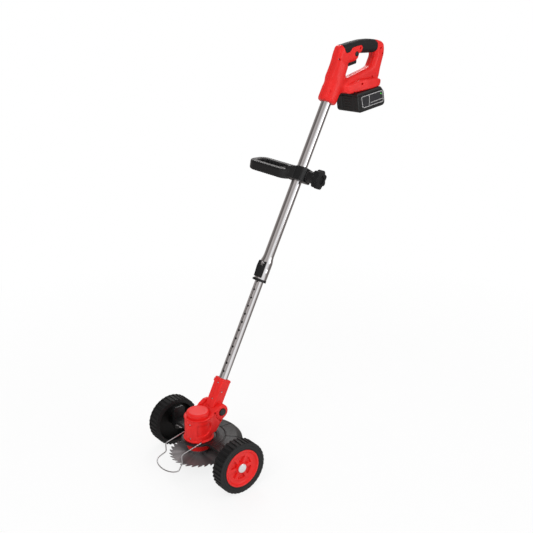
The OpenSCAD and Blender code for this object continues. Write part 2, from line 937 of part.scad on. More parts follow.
module handle_shell(side) {
    at_handle() half(side) difference() {
        handle_solid();
        difference() {
            slab(-60, 60) grip_cover_outline();
            handle_frame(cover_t);
        }
        handle_cavity();
        trigger_room();
        handle_screw_room();
        bar_x(lock_at, half_grip - 9, half_grip + 1, lock_r + gap);
        bar_x(trigger_at, -12.5, 12, trigger_pin_r + slip);
        bar_x(trigger_at, -10.8, -7, 3.3);
    }
}

module handle_shell_left() {
    color(red) stand() handle_shell(1);
}

module handle_shell_right() {
    color(red) stand() handle_shell(-1);
}

module grip_cover() {
    color(soft_black) stand() at_handle() difference() {
        intersection() {
            handle_frame();
            slab(-60, 60) grip_cover_outline();
        }
        handle_frame(cover_t);
        bar_x([98, 128.5], -60, 60, screw_head_r);
    }
}

module handle_screws() {
    color(steel) stand() at_handle() {
        for (at = handle_screw_at) {
            bar_x(at, -9.5, 9.5, screw_r);
            bar_x(at, 9.5, 11.5, screw_head_r - 0.1);
        }
        for (at = foot_screw_at) {
            bar_x(at, -19, 19, screw_r);
            bar_x(at, 19, 21, screw_head_r - 0.1);
        }
    }
}

module switch_body() {
    color(soft_black) stand() at_handle() translate([-6, 58, 117])
        cube([12, 26, 14]);
}

module terminal_block() {
    color(black) stand() at_handle() at_battery() translate([-14, 34, foot_z + rail_h + 3.2])
        cube([28, 14, 7]);
}

module handle_lead() {
    color(soft_black) stand() on_pole(790) cylinder(r = 8, h = 115);
}

module trigger_spring() {
    color(steel) stand() at_handle() translate([-10.3, trigger_at[0], trigger_at[1]])
        rotate([0, 90, 0]) coil(2.6, 0.3, 0.8, 2);
}

module trigger() {
    color(black) stand() at_handle() {
        slab(-6.8, 6.8) trigger_outline();
        bar_x(trigger_at, -12, 11.5, trigger_pin_r);
    }
}

module lock_button() {
    color(black) stand() at_handle()
        bar_x(lock_at, half_grip - 5, half_grip + 2.2, lock_r);
}

// ---------------------------------------------------------------- battery

battery_front = -3;
battery_sole = -2;

module battery_block(inset) {
    w = battery_w / 2 - inset;
    front = battery_front + inset;
    sole = battery_sole + inset;
    slab(-w, w) polygon([[front, sole + 6], [front + 6, sole], [battery_l - 6, sole],
        [battery_l - inset, battery_sole + 6], [battery_l - inset, 33],
        [battery_l - 10, battery_h - inset], [front, battery_h - inset]]);
}

lid_z = 40;

module battery_case() {
    color(black) stand() at_handle() at_battery() difference() {
        intersection() {
            battery_block(0);
            translate([-100, -10, -5]) cube([200, 200, lid_z + 5]);
        }
        intersection() {
            battery_block(3);
            translate([-100, -10, -5]) cube([200, 200, lid_z + 6]);
        }
        for (side = [-1, 1]) on_side(side)
            translate([battery_w / 2 - 1, 0, 0]) slab(0, 5) panel_outline();
        bar_x(light_at, battery_w / 2 - 4, battery_w / 2 + 1, 1.5);
    }
}

module battery_lid() {
    color(black) stand() at_handle() at_battery() difference() {
        union() {
            intersection() {
                battery_block(0);
                translate([-100, -10, lid_z]) cube([200, 200, 30]);
            }
            translate([-rail_x, 0, battery_h - 1]) cube([2 * rail_x, battery_l - 14, rail_h]);
        }
        translate([-rail_x + 3, 3, lid_z - 1]) cube([2 * rail_x - 6, battery_l - 22, 12]);
        translate([-12.2, battery_l - 16, lid_z - 1]) cube([24.4, 40, 30]);
    }
}

light_at = [82, 29.5];

module panel_outline() {
    polygon([[9, 38], [88, 38], [90, 36], [90, 9], [88, 6.5], [13, 6.5], [11, 9], [7, 36]]);
}

module battery_panel() {
    color(soft_black) stand() at_handle() at_battery() for (side = [-1, 1]) on_side(side) difference() {
        translate([battery_w / 2 - 1, 0, 0]) slab(0, 1) panel_outline();
        bar_x(light_at, battery_w / 2 - 4, battery_w / 2 + 1, 1.5);
    }
}

module charge_light() {
    color("#35c04a") stand() at_handle() at_battery()
        bar_x(light_at, battery_w / 2 - 3, battery_w / 2, 1.5);
}

// Five round cells lie across the case
module battery_cells() {
    color("#3a6ea5") stand() at_handle() at_battery() for (i = [0:3]) for (side = [-1, 1])
        bar_x([14 + 19.5 * i, 14], side > 0 ? 1 : -33, side > 0 ? 33 : -1, 9.1);
}

module release_button() {
    color(red) stand() at_handle() at_battery() translate([-12, battery_l - 15.5, lid_z + 0.5])
        cube([24, 8, 5]);
}

// ---------------------------------------------------------------- loop handle

module clamp_liner() {
    color(black) stand() at_loop() translate([0, 0, loop_block[0]])
        pipe(loop_block[1] - loop_block[0], liner_r, upper_r + slip);
}

// The ring is set a little lower than the clamp and its rear branch tips up
loop_half_w = 38;
loop_drop = 3;
loop_tip_up = 22;
branch_t = 20;
branch_h = 25;
branch_round = 5;
loop_corner = 28;

module rounded_rect(x0, x1, half_w, r) {
    translate([x0, -half_w + r]) square([x1 - x0, 2 * half_w - 2 * r]);
    translate([x0 + r, -half_w]) square([x1 - x0 - 2 * r, 2 * half_w]);
    for (x = [x0 + r, x1 - r]) for (y = [-half_w + r, half_w - r])
        translate([x, y]) circle(r = r);
}

// Plan of the ring, drawn in by inset on both its rims
module loop_outline(inset) {
    difference() {
        rounded_rect(12 + inset, loop_reach - inset, loop_half_w - inset, loop_corner - inset);
        rounded_rect(44 - inset, loop_reach - branch_t + inset,
            loop_half_w - branch_t + inset, loop_corner - branch_t + inset);
    }
}

module loop_ring() {
    translate([0, 0, -loop_drop]) rotate([-loop_tip_up, 0, 0]) {
        core = branch_h - 2 * branch_round;
        translate([0, 0, -core / 2]) linear_extrude(core) loop_outline(0);
        mid = branch_h - branch_round * 0.6;
        translate([0, 0, -mid / 2]) linear_extrude(mid) loop_outline(branch_round * 0.45);
        translate([0, 0, -branch_h / 2]) linear_extrude(branch_h) loop_outline(branch_round);
    }
}

// Side view of the clamp: its top slopes down from the knob side to the ring
module clamp_side() {
    rotate([90, 0, 0]) linear_extrude(100, center = true)
        polygon([[-60, loop_block[0]], [60, loop_block[0]], [60, 4], [34, 4],
            [-4, loop_block[1]], [-60, loop_block[1]]]);
}

cap_screw_y = 21;
cap_screw_z = [-10, 12];

module loop_handle() {
    color(black) stand() at_loop() difference() {
        union() {
            intersection() {
                loop_ring();
                translate([0.1, -100, -100]) cube([300, 200, 200]);
            }
            intersection() {
                translate([0, 0, loop_block[0]]) linear_extrude(loop_block[1] - loop_block[0])
                    polygon([[0, -26], [28, -29], [36, -22], [36, 22], [28, 29], [0, 26]]);
                clamp_side();
            }
        }
        cylinder(r = liner_r + slip, h = 100, center = true);
        for (z = cap_screw_z) for (y = [-cap_screw_y, cap_screw_y]) translate([-5, y, z])
            rotate([0, 90, 0]) cylinder(r = 2, h = 22);
    }
}

module clamp_cap() {
    color(black) stand() at_loop() difference() {
        union() {
            translate([0, 0, loop_block[0]]) linear_extrude(loop_block[1] - loop_block[0])
                polygon([[0, -26], [-20, -26], [-28, -17], [-28, 17], [-20, 26], [0, 26]]);
            rotate([0, -90, 0]) translate([0, 0, 20]) cylinder(r = 15, h = 27.5);
        }
        cylinder(r = liner_r + slip, h = 100, center = true);
        rotate([0, -90, 0]) cylinder(r = 4 + slip, h = 60);
    }
}

module star_knob() {
    color(soft_black) stand() at_loop() {
        rotate([0, -90, 0]) {
            difference() {
                translate([0, 0, 48]) linear_extrude(18) union() {
                    circle(r = knob_d / 2 - 5);
                    for (i = [0:6]) rotate(360 / 7 * i) translate([knob_d / 2 - 7, 0])
                        circle(r = 7);
                }
                translate([0, 0, 62.5]) cylinder(r = 11, h = 10);
            }
            translate([0, 0, liner_r + 0.6]) cylinder(r = 4, h = 34);
        }
    }
}

// ---------------------------------------------------------------- the nodes

head_shell_left();
head_shell_right();
motor_cap();
housing_screws();
motor_can();
spindle_bearings();
spindle_ring();
guard_shield();
wheel_arm_left();
wheel_arm_right();
axle_left();
axle_right();
wing_nuts();
pivot_pin();
button_spring();
spindle();
armature();
blade_flange();
saw_blade();
blade_nut();
wheel_left();
hub_cover_left();
hub_cap_left();
wheel_right();
hub_cover_right();
hub_cap_right();
wire_guard();
pivot_button();
neck_shell_left();
neck_shell_right();
neck_screws();
lower_tube();
tube_bush();
motor_lead();
upper_tube();
collar_sleeve();
collar_ring();
latch_pin();
latch_spring();
latch_lever();
handle_shell_left();
handle_shell_right();
grip_cover();
handle_screws();
switch_body();
terminal_block();
handle_lead();
trigger_spring();
trigger();
lock_button();
battery_case();
battery_lid();
battery_panel();
charge_light();
battery_cells();
release_button();
clamp_liner();
loop_handle();
clamp_cap();
star_knob();
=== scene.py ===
"""Lawn edger: the finish, moulded shells and fittings of a wheeled battery edger.

Local sizes are millimetres in each part's own frame. Places come from the packed model's joints.
"""

import json
from math import acos, atan2, ceil, cos, degrees, pi, radians, sin, sqrt, tau

import bmesh
import bpy
import numpy as np
from bpy.props import FloatProperty, FloatVectorProperty, PointerProperty
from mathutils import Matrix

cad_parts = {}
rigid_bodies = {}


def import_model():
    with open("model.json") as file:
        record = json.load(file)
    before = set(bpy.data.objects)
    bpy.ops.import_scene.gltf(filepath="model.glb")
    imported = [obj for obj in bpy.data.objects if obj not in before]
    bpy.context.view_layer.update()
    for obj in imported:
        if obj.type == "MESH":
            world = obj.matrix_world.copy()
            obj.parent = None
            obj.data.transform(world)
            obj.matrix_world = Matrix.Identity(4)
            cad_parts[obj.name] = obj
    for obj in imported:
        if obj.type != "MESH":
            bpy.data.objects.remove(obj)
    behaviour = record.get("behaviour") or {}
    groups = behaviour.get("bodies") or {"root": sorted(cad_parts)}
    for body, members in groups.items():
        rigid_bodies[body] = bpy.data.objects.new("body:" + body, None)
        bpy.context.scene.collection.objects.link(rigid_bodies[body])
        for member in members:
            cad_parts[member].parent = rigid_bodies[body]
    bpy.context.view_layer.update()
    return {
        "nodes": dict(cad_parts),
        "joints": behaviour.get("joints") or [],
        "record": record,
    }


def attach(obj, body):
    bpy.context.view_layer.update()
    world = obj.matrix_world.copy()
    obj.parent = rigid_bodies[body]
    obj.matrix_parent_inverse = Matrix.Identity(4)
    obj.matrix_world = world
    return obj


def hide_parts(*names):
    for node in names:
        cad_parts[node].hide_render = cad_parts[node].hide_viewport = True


for spare in list(bpy.data.objects):
    bpy.data.objects.remove(spare)
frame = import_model()

bl_info = {
    "name": "Lawn Edger",
    "version": (1, 0, 0),
    "blender": (4, 5, 0),
    "location": "View3D > Sidebar > Lawn Edger",
    "description": "Dresses the packed lawn edger with moulded shells, fittings and finishes",
    "category": "Object",
}

METRE = 1000.0


def size(name):
    """A driving size of the scene, in millimetres."""
    return getattr(bpy.context.scene.edger_sizes, name) * METRE


JOINTS = {j["name"]: j for j in frame["joints"]}

# ------------------------------------------------------------------ places


def joint_point(name):
    return np.array(JOINTS[name]["pos_m"], float) * METRE


def joint_axis(name):
    axis = np.array(JOINTS[name]["axis"], float)
    return axis / np.linalg.norm(axis)


class Place:
    """A local frame: an origin and three axes, in millimetres of the model's frame."""

    def __init__(self, origin, x, y, z):
        self.origin = np.array(origin, float)
        self.axes = np.array([x, y, z], float)

    def world(self, points):
        return self.origin + np.asarray(points, float) @ self.axes

    def local(self, points):
        return (points - self.origin) @ self.axes.T

    def moved(self, x=0.0, y=0.0, z=0.0):
        return Place(self.world([x, y, z]), *self.axes)

    def turned(self, about, angle):
        """The same place turned by an angle in degrees about its own axis 0, 1 or 2."""
        c, s = cos(radians(angle)), sin(radians(angle))
        i, j = [(1, 2), (2, 0), (0, 1)][about]
        axes = self.axes.copy()
        axes[i] = c * self.axes[i] + s * self.axes[j]
        axes[j] = c * self.axes[j] - s * self.axes[i]
        return Place(self.origin, *axes)

    def facing(self, along):
        """A place at the same origin whose Z lies along the local direction given."""
        z = np.asarray(along, float) @ self.axes
        z = z / np.linalg.norm(z)
        x = np.cross([0.0, 1.0, 0.0] if abs(z[1]) < 0.9 else [1.0, 0.0, 0.0], z)
        x = x / np.linalg.norm(x)
        return Place(self.origin, x, np.cross(z, x), z)


RIGHT, REAR, UP = np.eye(3)
POLE_UP = joint_axis("pole_telescope")
POLE_OFF = np.cross(POLE_UP, RIGHT)

WHEEL_OUT = 161.85
WHEEL_WIDTH = 34.7
WHEEL_R = 65.0

# AXLE, MOTOR, HANDLE and BATTERY have X to the right, Y rearward and Z up, BATTERY tipped as it
# slides. POLE, LOOP and LATCH have Z along the pole. LOOP_S and STEM_S are heights on POLE.
AXLE = Place(joint_point("left_wheel_spin") * [0, 1, 1], RIGHT, REAR, UP)
MOTOR = AXLE.moved(y=-16)
LOOP_S = 720.6
POLE = Place(joint_point("loop_turn") - LOOP_S * POLE_UP, RIGHT, POLE_OFF, POLE_UP)
STEM_S = 911
HANDLE = Place(POLE.world([0, 0, STEM_S]), RIGHT, REAR, UP)
BATTERY_REAR = joint_axis("battery_slide")
BATTERY = Place(HANDLE.world([0, 78.4, -28.2]), RIGHT, BATTERY_REAR, np.cross(RIGHT, BATTERY_REAR))
LOOP_OUT = -joint_axis("knob_turn")
LOOP = Place(POLE.world([0, 0, LOOP_S]), LOOP_OUT, np.cross(POLE_UP, LOOP_OUT), POLE_UP)
RING = LOOP.moved(z=-3).turned(0, -22)
KNOB = LOOP.facing((-1, 0, 0))
LATCH = POLE.turned(2, 19)
PIVOT = AXLE.local(joint_point("head_tilt"))[1:]

# ------------------------------------------------------------------ solids by distance


def smaller(a, b, r):
    """The lesser of two distances, with the corner between them filled by about r."""
    if r <= 0:
        return np.minimum(a, b)
    h = np.clip(0.5 + 0.5 * (b - a) / r, 0, 1)
    return b + (a - b) * h - r * h * (1 - h)


class Form:
    """A solid told by its distance in millimetres at world points, negative inside."""

    def __init__(self, distance):
        self.distance = distance

    def __call__(self, points):
        return self.distance(points)

    def join(self, other, r=0.0):
        return Form(lambda p: smaller(self(p), other(p), r))

    def cut(self, other, r=0.0):
        return Form(lambda p: -smaller(-self(p), other(p), r))

    def meet(self, other, r=0.0):
        return Form(lambda p: -smaller(-self(p), -other(p), r))

    def grown(self, by):
        return Form(lambda p: self(p) - by)

    def displaced(self, height):
        """Raised by a height in millimetres that is a function of the world points."""
        return Form(lambda p: self(p) - height(p))


def rounded_2d(dx, dy, r):
    """Distance from two slab distances that meet at an edge rounded by r."""
    outside = np.hypot(np.maximum(dx + r, 0), np.maximum(dy + r, 0))
    return outside + np.minimum(np.maximum(dx + r, dy + r), 0) - r


def slab(side, height, low, high, r):
    """A side distance made solid between two heights, with its rims rounded by r."""
    return rounded_2d(side, np.abs(height - (low + high) / 2) - (high - low) / 2, r)


def block(place, low, high, r=0.5):
    middle = (np.array(low, float) + high) / 2
    half = (np.array(high, float) - low) / 2

    def distance(points):
        q = np.abs(place.local(points) - middle) - half + r
        return np.linalg.norm(np.maximum(q, 0), axis=1) + np.minimum(q.max(axis=1), 0) - r

    return Form(distance)


def drum(place, low, high, radius, r=0.5):
    """A round bar about the place's Z axis between two heights."""

    def distance(points):
        q = place.local(points)
        return slab(np.hypot(q[:, 0], q[:, 1]) - radius, q[:, 2], low, high, r)

    return Form(distance)


def bar_x(place, at, low, high, radius, r=0.3):
    """A round bar along the place's X axis through a point of its side view."""

    def distance(points):
        q = place.local(points)
        return slab(np.hypot(q[:, 1] - at[0], q[:, 2] - at[1]) - radius, q[:, 0], low, high, r)

    return Form(distance)


def rod(place, a, b, ra, rb=None):
    """A round-ended rod from a to b."""
    a, b = np.array(a, float), np.array(b, float)
    rb = ra if rb is None else rb

    def distance(points):
        q = place.local(points) - a
        t = np.clip(q @ (b - a) / ((b - a) @ (b - a)), 0, 1)
        return np.linalg.norm(q - t[:, None] * (b - a), axis=1) - (ra + (rb - ra) * t)

    return Form(distance)


def outline_distance(u, v, outline):
    """Signed distance of points from a closed outline in the plane."""
    best = np.full(len(u), 1e18)
    sign = np.ones(len(u))
    count = len(outline)
    for i in range(count):
        (ax, ay), (bx, by) = outline[i], outline[i - 1]
        ex, ey = bx - ax, by - ay
        wx, wy = u - ax, v - ay
        t = np.clip((wx * ex + wy * ey) / (ex * ex + ey * ey), 0, 1)
        best = np.minimum(best, (wx - ex * t) ** 2 + (wy - ey * t) ** 2)
        above, below, left = v >= ay, v < by, ex * wy > ey * wx
        flip = (above & below & left) | (~above & ~below & ~left)
        sign = np.where(flip, -sign, sign)
    return sign * np.sqrt(best)


def prism(place, outline, low, high, r=0.5, axis=0, hole=None):
    """An outline drawn square to an axis of the place and made solid between two heights.

    The rims of the hole are rounded like the outer edges.
    """
    i, j = [(1, 2), (2, 0), (0, 1)][axis]

    def distance(points):
        q = place.local(points)
        side = outline_distance(q[:, i], q[:, j], outline)
        if hole is not None:
            side = np.maximum(side, -outline_distance(q[:, i], q[:, j], hole))
        return slab(side, q[:, axis], low, high, r)

    return Form(distance)


def spun(place, profile):
    """A closed profile of radius and height turned about the place's Z axis."""

    def distance(points):
        q = place.local(points)
        return outline_distance(np.hypot(q[:, 0], q[:, 1]), q[:, 2], profile)

    return Form(distance)


def half_space(place, axis, at, above=True):
    """Everything beyond a plane of the place."""
    side = 1 if above else -1
    return Form(lambda p: side * (at - place.local(p)[:, axis]))


SKIN_BLOCK = 8  # cells along the side of a block


def sampled(form, low, size, step):
    """Distances on a grid, worked out finely only in the blocks that the surface may cross."""
    blocks = [ceil(s / step / SKIN_BLOCK) for s in size]
    index = np.stack(np.meshgrid(*[np.arange(b) for b in blocks], indexing="ij"), -1).reshape(-1, 3)
    centre = low + (index + 0.5) * SKIN_BLOCK * step - 0.5 * step
    coarse = form(centre)
    near = np.abs(coarse) < 0.95 * SKIN_BLOCK * step
    field = np.repeat(coarse, SKIN_BLOCK ** 3).reshape(*blocks, SKIN_BLOCK, SKIN_BLOCK, SKIN_BLOCK)
    inner = np.stack(np.meshgrid(*[np.arange(SKIN_BLOCK)] * 3, indexing="ij"), -1).reshape(-1, 3)
    chosen = index[near]
    values = np.empty((len(chosen), SKIN_BLOCK ** 3))
    for i in range(0, len(chosen), 200):
        cells = chosen[i:i + 200, None, :] * SKIN_BLOCK + inner[None]
        values[i:i + 200] = form((low + cells.reshape(-1, 3) * step)).reshape(len(cells), -1)
    field[tuple(chosen.T)] = values.reshape(-1, SKIN_BLOCK, SKIN_BLOCK, SKIN_BLOCK)
    return field.transpose(0, 3, 1, 4, 2, 5).reshape([b * SKIN_BLOCK for b in blocks])


def skin(form, low, high, step):
    """The surface of a form inside a box of the world, as points and quads."""
    low = np.array(low, float) - 2 * step
    high = np.array(high, float) + 2 * step
    field = sampled(form, low, high - low, step)
    inside = field < 0
    shape = np.array(field.shape)
    stride = np.array([shape[1] * shape[2], shape[2], 1])
    cells, spots, quads = [], [], []
    for axis in range(3):
        first = [slice(1, -1)] * 3
        first[axis] = slice(0, -1)
        second = list(first)
        second[axis] = slice(1, None)
        crossing = np.argwhere(inside[tuple(first)] != inside[tuple(second)])
        start = crossing + [f.start for f in first]
        flat = start @ stride
        near, far = field.ravel()[flat], field.ravel()[flat + stride[axis]]
        spot = start.astype(float)
        spot[:, axis] += near / (near - far)
        b, c = stride[(axis + 1) % 3], stride[(axis + 2) % 3]
        corners = np.stack([flat - b - c, flat - c, flat, flat - b], 1)
        corners[near > 0] = corners[near > 0][:, ::-1]
        quads.append(corners)
        cells.append(corners.ravel())
        spots.append(np.repeat(spot, 4, axis=0))
    cells, spots = np.concatenate(cells), np.concatenate(spots)
    used, place_of = np.unique(cells, return_inverse=True)
    count = np.bincount(place_of)
    points = np.stack([np.bincount(place_of, weights=spots[:, k]) / count for k in range(3)], 1)
    points = low + points * step
    faces = np.searchsorted(used, np.concatenate(quads))
    for _ in range(2):
        slope, reach = gradient(form, points, 0.2 * step), form(points)
        length = np.maximum((slope ** 2).sum(1), 0.25)
        points = points - slope * np.clip(reach / length, -step, step)[:, None]
    return points, faces


def gradient(form, points, h):
    steps = np.eye(3) * h
    return np.stack([(form(points + s) - form(points - s)) / (2 * h) for s in steps], 1)


# ------------------------------------------------------------------ meshes


def new_piece(name, points, faces, body, slot, replaces=(), sharp=None):
    """A mesh object from world points in millimetres, riding on a body."""
    mesh = bpy.data.meshes.new(name)
    mesh.from_pydata((np.asarray(points) / METRE).tolist(), [], [list(map(int, f)) for f in faces])
    mesh.validate()
    finished(added(name, mesh), body, slot, replaces, sharp)


def added(name, data):
    """A new object in the scene."""
    obj = bpy.data.objects.new(name, data)
    bpy.context.scene.collection.objects.link(obj)
    return obj


def finished(obj, body, slot, replaces, sharp):
    """Shades a piece, puts it on its body, hides the CAD nodes it stands for and gives it its
    finish.
    """
    shade(obj, sharp)
    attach(obj, body)
    if replaces:
        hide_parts(*replaces)
    obj.data.materials.append(FINISHES[slot])


def shade(obj, sharp=None):
    """Smooth shading, with edges over the sharp angle in degrees kept crisp."""
    mesh = obj.data
    mesh.polygons.foreach_set("use_smooth", np.ones(len(mesh.polygons), bool))
    if sharp is not None:
        mesh.set_sharp_from_angle(angle=radians(sharp))
    mesh.update()


def skinned(name, form, place, low, high, step, body, slot, replaces=()):
    """A piece from a form, looked for inside a box of a place."""
    corners = np.stack(np.meshgrid(*zip(low, high), indexing="ij"), -1).reshape(-1, 3)
    reach = place.world(corners)
    points, faces = skin(form, reach.min(0), reach.max(0), step)
    new_piece(name, points, faces, body, slot, replaces)


def filleted(profile, radius, steps=3):
    """A polyline whose inner corners are rounded. radius is one number or one for each point."""
    profile = [np.array(p, float) for p in profile]
    radii = radius if hasattr(radius, "__len__") else [radius] * len(profile)
    result = [profile[0]]
    for i in range(1, len(profile) - 1):
        before, here, after = profile[i - 1:i + 2]
        a, b = before - here, after - here
        reach = min(radii[i], np.linalg.norm(a) / 2.01, np.linalg.norm(b) / 2.01)
        if reach < 1e-6:
            result.append(here)
            continue
        a = here + a / np.linalg.norm(a) * reach
        b = here + b / np.linalg.norm(b) * reach
        for t in np.linspace(0, 1, steps + 1):
            result.append((1 - t) ** 2 * a + 2 * t * (1 - t) * here + t * t * b)
    return np.array(result + [profile[-1]])


def rounded_loop(outline, radius, steps=3):
    """A closed outline with its corners rounded."""
    whole = [outline[-1], *outline, outline[0]]
    return filleted(whole, radius, steps)[1:-1]


def grid_faces(rows, columns, wrap_rows=False):
    """Quads over rings of points stored one ring after the other."""
    r = np.arange(rows if wrap_rows else rows - 1)
    r, c = [a.ravel() for a in np.meshgrid(r, np.arange(columns), indexing="ij")]
    r1, c1 = (r + 1) % rows, (c + 1) % columns
    quads = np.stack([r * columns + c, r * columns + c1, r1 * columns + c1, r1 * columns + c], 1)
    return quads


def capped(rows, columns, start=0):
    """The quads of a grid of rings whose first point is number start, and a lid on each end."""
    lids = np.arange(columns)[::-1], (rows - 1) * columns + np.arange(columns)
    return [face + start for face in (*grid_faces(rows, columns), *lids)]


def turned_piece(name, place, profile, body, slot, replaces=(), steps=96, closed=False,
                 lift=None, sharp=40):
    """A profile of radius and height spun about the place's Z axis, from its lowest inner point
    round the outside. lift changes radius and height by the angle: lift(angles, radii, heights)."""
    profile = np.asarray(profile, float)
    angles = np.arange(steps) * tau / steps
    radii = np.repeat(profile[:, :1], steps, 1)
    heights = np.repeat(profile[:, 1:], steps, 1)
    if lift:
        radii, heights = lift(angles[None], radii, heights)
    points = np.stack([radii * np.cos(angles), radii * np.sin(angles), heights], -1).reshape(-1, 3)
    rows = len(profile)
    faces = grid_faces(rows, steps, wrap_rows=True) if closed else capped(rows, steps)
    new_piece(name, place.world(points), faces, body, slot, replaces, sharp)


def swept_piece(name, place, path, radius, body, slot, replaces, sides=14):
    """A round wire along a path of local points, with flat ends."""
    path = np.asarray(path, float)
    heading = np.gradient(path, axis=0)
    heading /= np.linalg.norm(heading, axis=1)[:, None]
    side = np.cross(heading[0], [0.3, 0.2, 0.9])
    side /= np.linalg.norm(side)
    turn = np.arange(sides)[:, None] * tau / sides
    rings = []
    for point, ahead in zip(path, heading):
        side = side - ahead * (side @ ahead)
        side /= np.linalg.norm(side)
        other = np.cross(ahead, side)
        rings.append(point + radius * (np.cos(turn) * side + np.sin(turn) * other))
    new_piece(name, place.world(np.concatenate(rings)), capped(len(path), sides), body, slot,
              replaces, 50)


def dressed(node, body, slot, bevel, segments=2, angle=32):
    """A CAD node's own shape with its edges rounded, as a piece that stands for the node."""
    mesh = frame["nodes"][node].data.copy()
    mesh.name = node + "_dressed"
    mesh.materials.clear()
    obj = added(mesh.name, mesh)
    work = bmesh.new()
    work.from_mesh(mesh)
    bmesh.ops.remove_doubles(work, verts=work.verts, dist=2e-6)
    bmesh.ops.dissolve_limit(work, angle_limit=radians(1.0), verts=work.verts, edges=work.edges)
    work.to_mesh(mesh)
    work.free()
    if bevel:
        modifier = obj.modifiers.new("edges", "BEVEL")
        modifier.width = bevel / METRE
        modifier.segments = segments
        modifier.limit_method = "ANGLE"
        modifier.angle_limit = radians(angle)
        modifier.miter_outer = "MITER_ARC"
        depsgraph = bpy.context.evaluated_depsgraph_get()
        solid = bpy.data.meshes.new_from_object(obj.evaluated_get(depsgraph))
        obj.modifiers.clear()
        obj.data = solid
    finished(obj, body, slot, [node], angle)


# ------------------------------------------------------------------ finishes


class Flow:
    """A shader socket that takes part in sums."""

    def __init__(self, tree, socket):
        self.tree, self.socket = tree, socket

    def sum(self, operation, first, second):
        maths = self.tree.nodes.new("ShaderNodeMath")
        maths.operation = operation
        for i, value in enumerate((first, second)):
            if isinstance(value, Flow):
                self.tree.links.new(value.socket, maths.inputs[i])
            else:
                maths.inputs[i].default_value = value
        return Flow(self.tree, maths.outputs[0])

    def clamped(self):
        return self.sum("MINIMUM", self.sum("MAXIMUM", self, 0.0), 1.0)


def both_ways(operation):
    """An operator with a Flow on its left, and the one with a Flow on its right."""
    return (lambda self, other: self.sum(operation, self, other),
            lambda self, other: self.sum(operation, other, self))


Flow.__add__, Flow.__radd__ = both_ways("ADD")
Flow.__sub__, Flow.__rsub__ = both_ways("SUBTRACT")
Flow.__mul__, Flow.__rmul__ = both_ways("MULTIPLY")
Flow.__pow__ = both_ways("POWER")[0]


class Nodes:
    """Adds nodes to a tree, each by one call."""

    def __init__(self, tree):
        self.tree = tree

    def node(self, kind, settings=None, values=None, output=0):
        """Adds a node: its settings first, then the values or links of its sockets."""
        made = self.tree.nodes.new("ShaderNode" + kind)
        for key, value in (settings or {}).items():
            if key == "stops":
                set_stops(made.color_ramp, value)
            else:
                setattr(made, key, value)
        for key, value in (values or {}).items():
            socket = made.inputs[key]
            if isinstance(value, Flow):
                self.tree.links.new(value.socket, socket)
            else:
                socket.default_value = value
        return Flow(self.tree, made.outputs[output])

    def noise(self, size, detail=2.0, at=None):
        """Soft noise whose lumps are about size millimetres across."""
        return self.node("TexNoise", {}, {"Vector": at or self.at, "Scale": METRE / size,
                                          "Detail": detail})

    def ramp(self, factor, *stops):
        return self.node("ValToRGB", {"stops": stops}, {"Fac": factor})

    def mix(self, factor, a, b):
        return self.node("Mix", {"data_type": "RGBA"}, {0: factor, 6: a, 7: b}, output=2)

    def mottled(self, factor, colour, low, high):
        """A colour that a noise takes from low to high times its brightness."""
        return self.ramp(factor, (0.3, shaded(colour, low)), (0.7, shaded(colour, high)))

    def about(self, centre):
        """X, Y and Z in metres from a centre in millimetres."""
        return self.parts(self.node("VectorMath", {"operation": "SUBTRACT"},
                                    {0: self.at, 1: tuple(centre / METRE)}))

    def glows(self, kind, colour):
        """A shader that gives off its own colour."""
        return self.node(kind, {}, {"Color": colour, "Strength": 1.0})

    def parts(self, vector):
        """X, Y and Z of a vector."""
        split = self.tree.nodes.new("ShaderNodeSeparateXYZ")
        self.tree.links.new(vector.socket, split.inputs[0])
        return [Flow(self.tree, s) for s in split.outputs]

    def direction(self, vector, along):
        """How far a vector runs along a fixed direction."""
        return self.node("VectorMath", {"operation": "DOT_PRODUCT"},
                         {0: vector, 1: tuple(map(float, along))}, output=1)

    def around(self, y, x, bands):
        """A ramp of greys round the full turn, its stops in degrees from -180 to 180."""
        turn = y.sum("ARCTAN2", y, x) * (1 / tau) + 0.5
        return self.ramp(turn, *[(at / 360 + 0.5, streaked(level)) for at, level in bands])

    def ray(self, kind):
        """Whether a ray comes from the camera or from a glossy surface."""
        return self.node("LightPath", output=f"Is {kind} Ray")

    def either(self, share, first, second):
        return self.node("MixShader", {}, {0: share, 1: first, 2: second})

    def link(self, value, socket):
        self.tree.links.new(value.socket, socket)


class Finish(Nodes):
    """A material's nodes, from its coordinates to its shader."""

    def __init__(self, name, **constants):
        self.material = bpy.data.materials.new(name)
        self.material.use_nodes = True
        super().__init__(self.material.node_tree)
        self.tree.nodes.clear()
        self.shader = self.tree.nodes.new("ShaderNodeBsdfPrincipled")
        self.out = self.tree.nodes.new("ShaderNodeOutputMaterial")
        self.tree.links.new(self.shader.outputs[0], self.out.inputs[0])
        for socket, value in constants.items():
            self.shader.inputs[socket.replace("_", " ")].default_value = value
        self.at = self.node("TexCoord", output="Object")

    def set(self, socket, value):
        self.link(value, self.shader.inputs[socket])

    def bump(self, height, depth):
        """Relief whose full height is depth millimetres. Returns the material."""
        self.set("Normal", self.node("Bump", {}, {"Height": height, "Distance": depth / METRE,
                                                  "Strength": 1.0}))
        return self.material


def set_stops(ramp, stops):
    while len(ramp.elements) > 1:
        ramp.elements.remove(ramp.elements[-1])
    for i, (at, colour) in enumerate(stops):
        element = ramp.elements[0] if i == 0 else ramp.elements.new(at)
        element.position = at
        element.color = (*colour, 1)


def shaded(colour, by):
    return tuple(min(1.0, c * by) for c in colour)


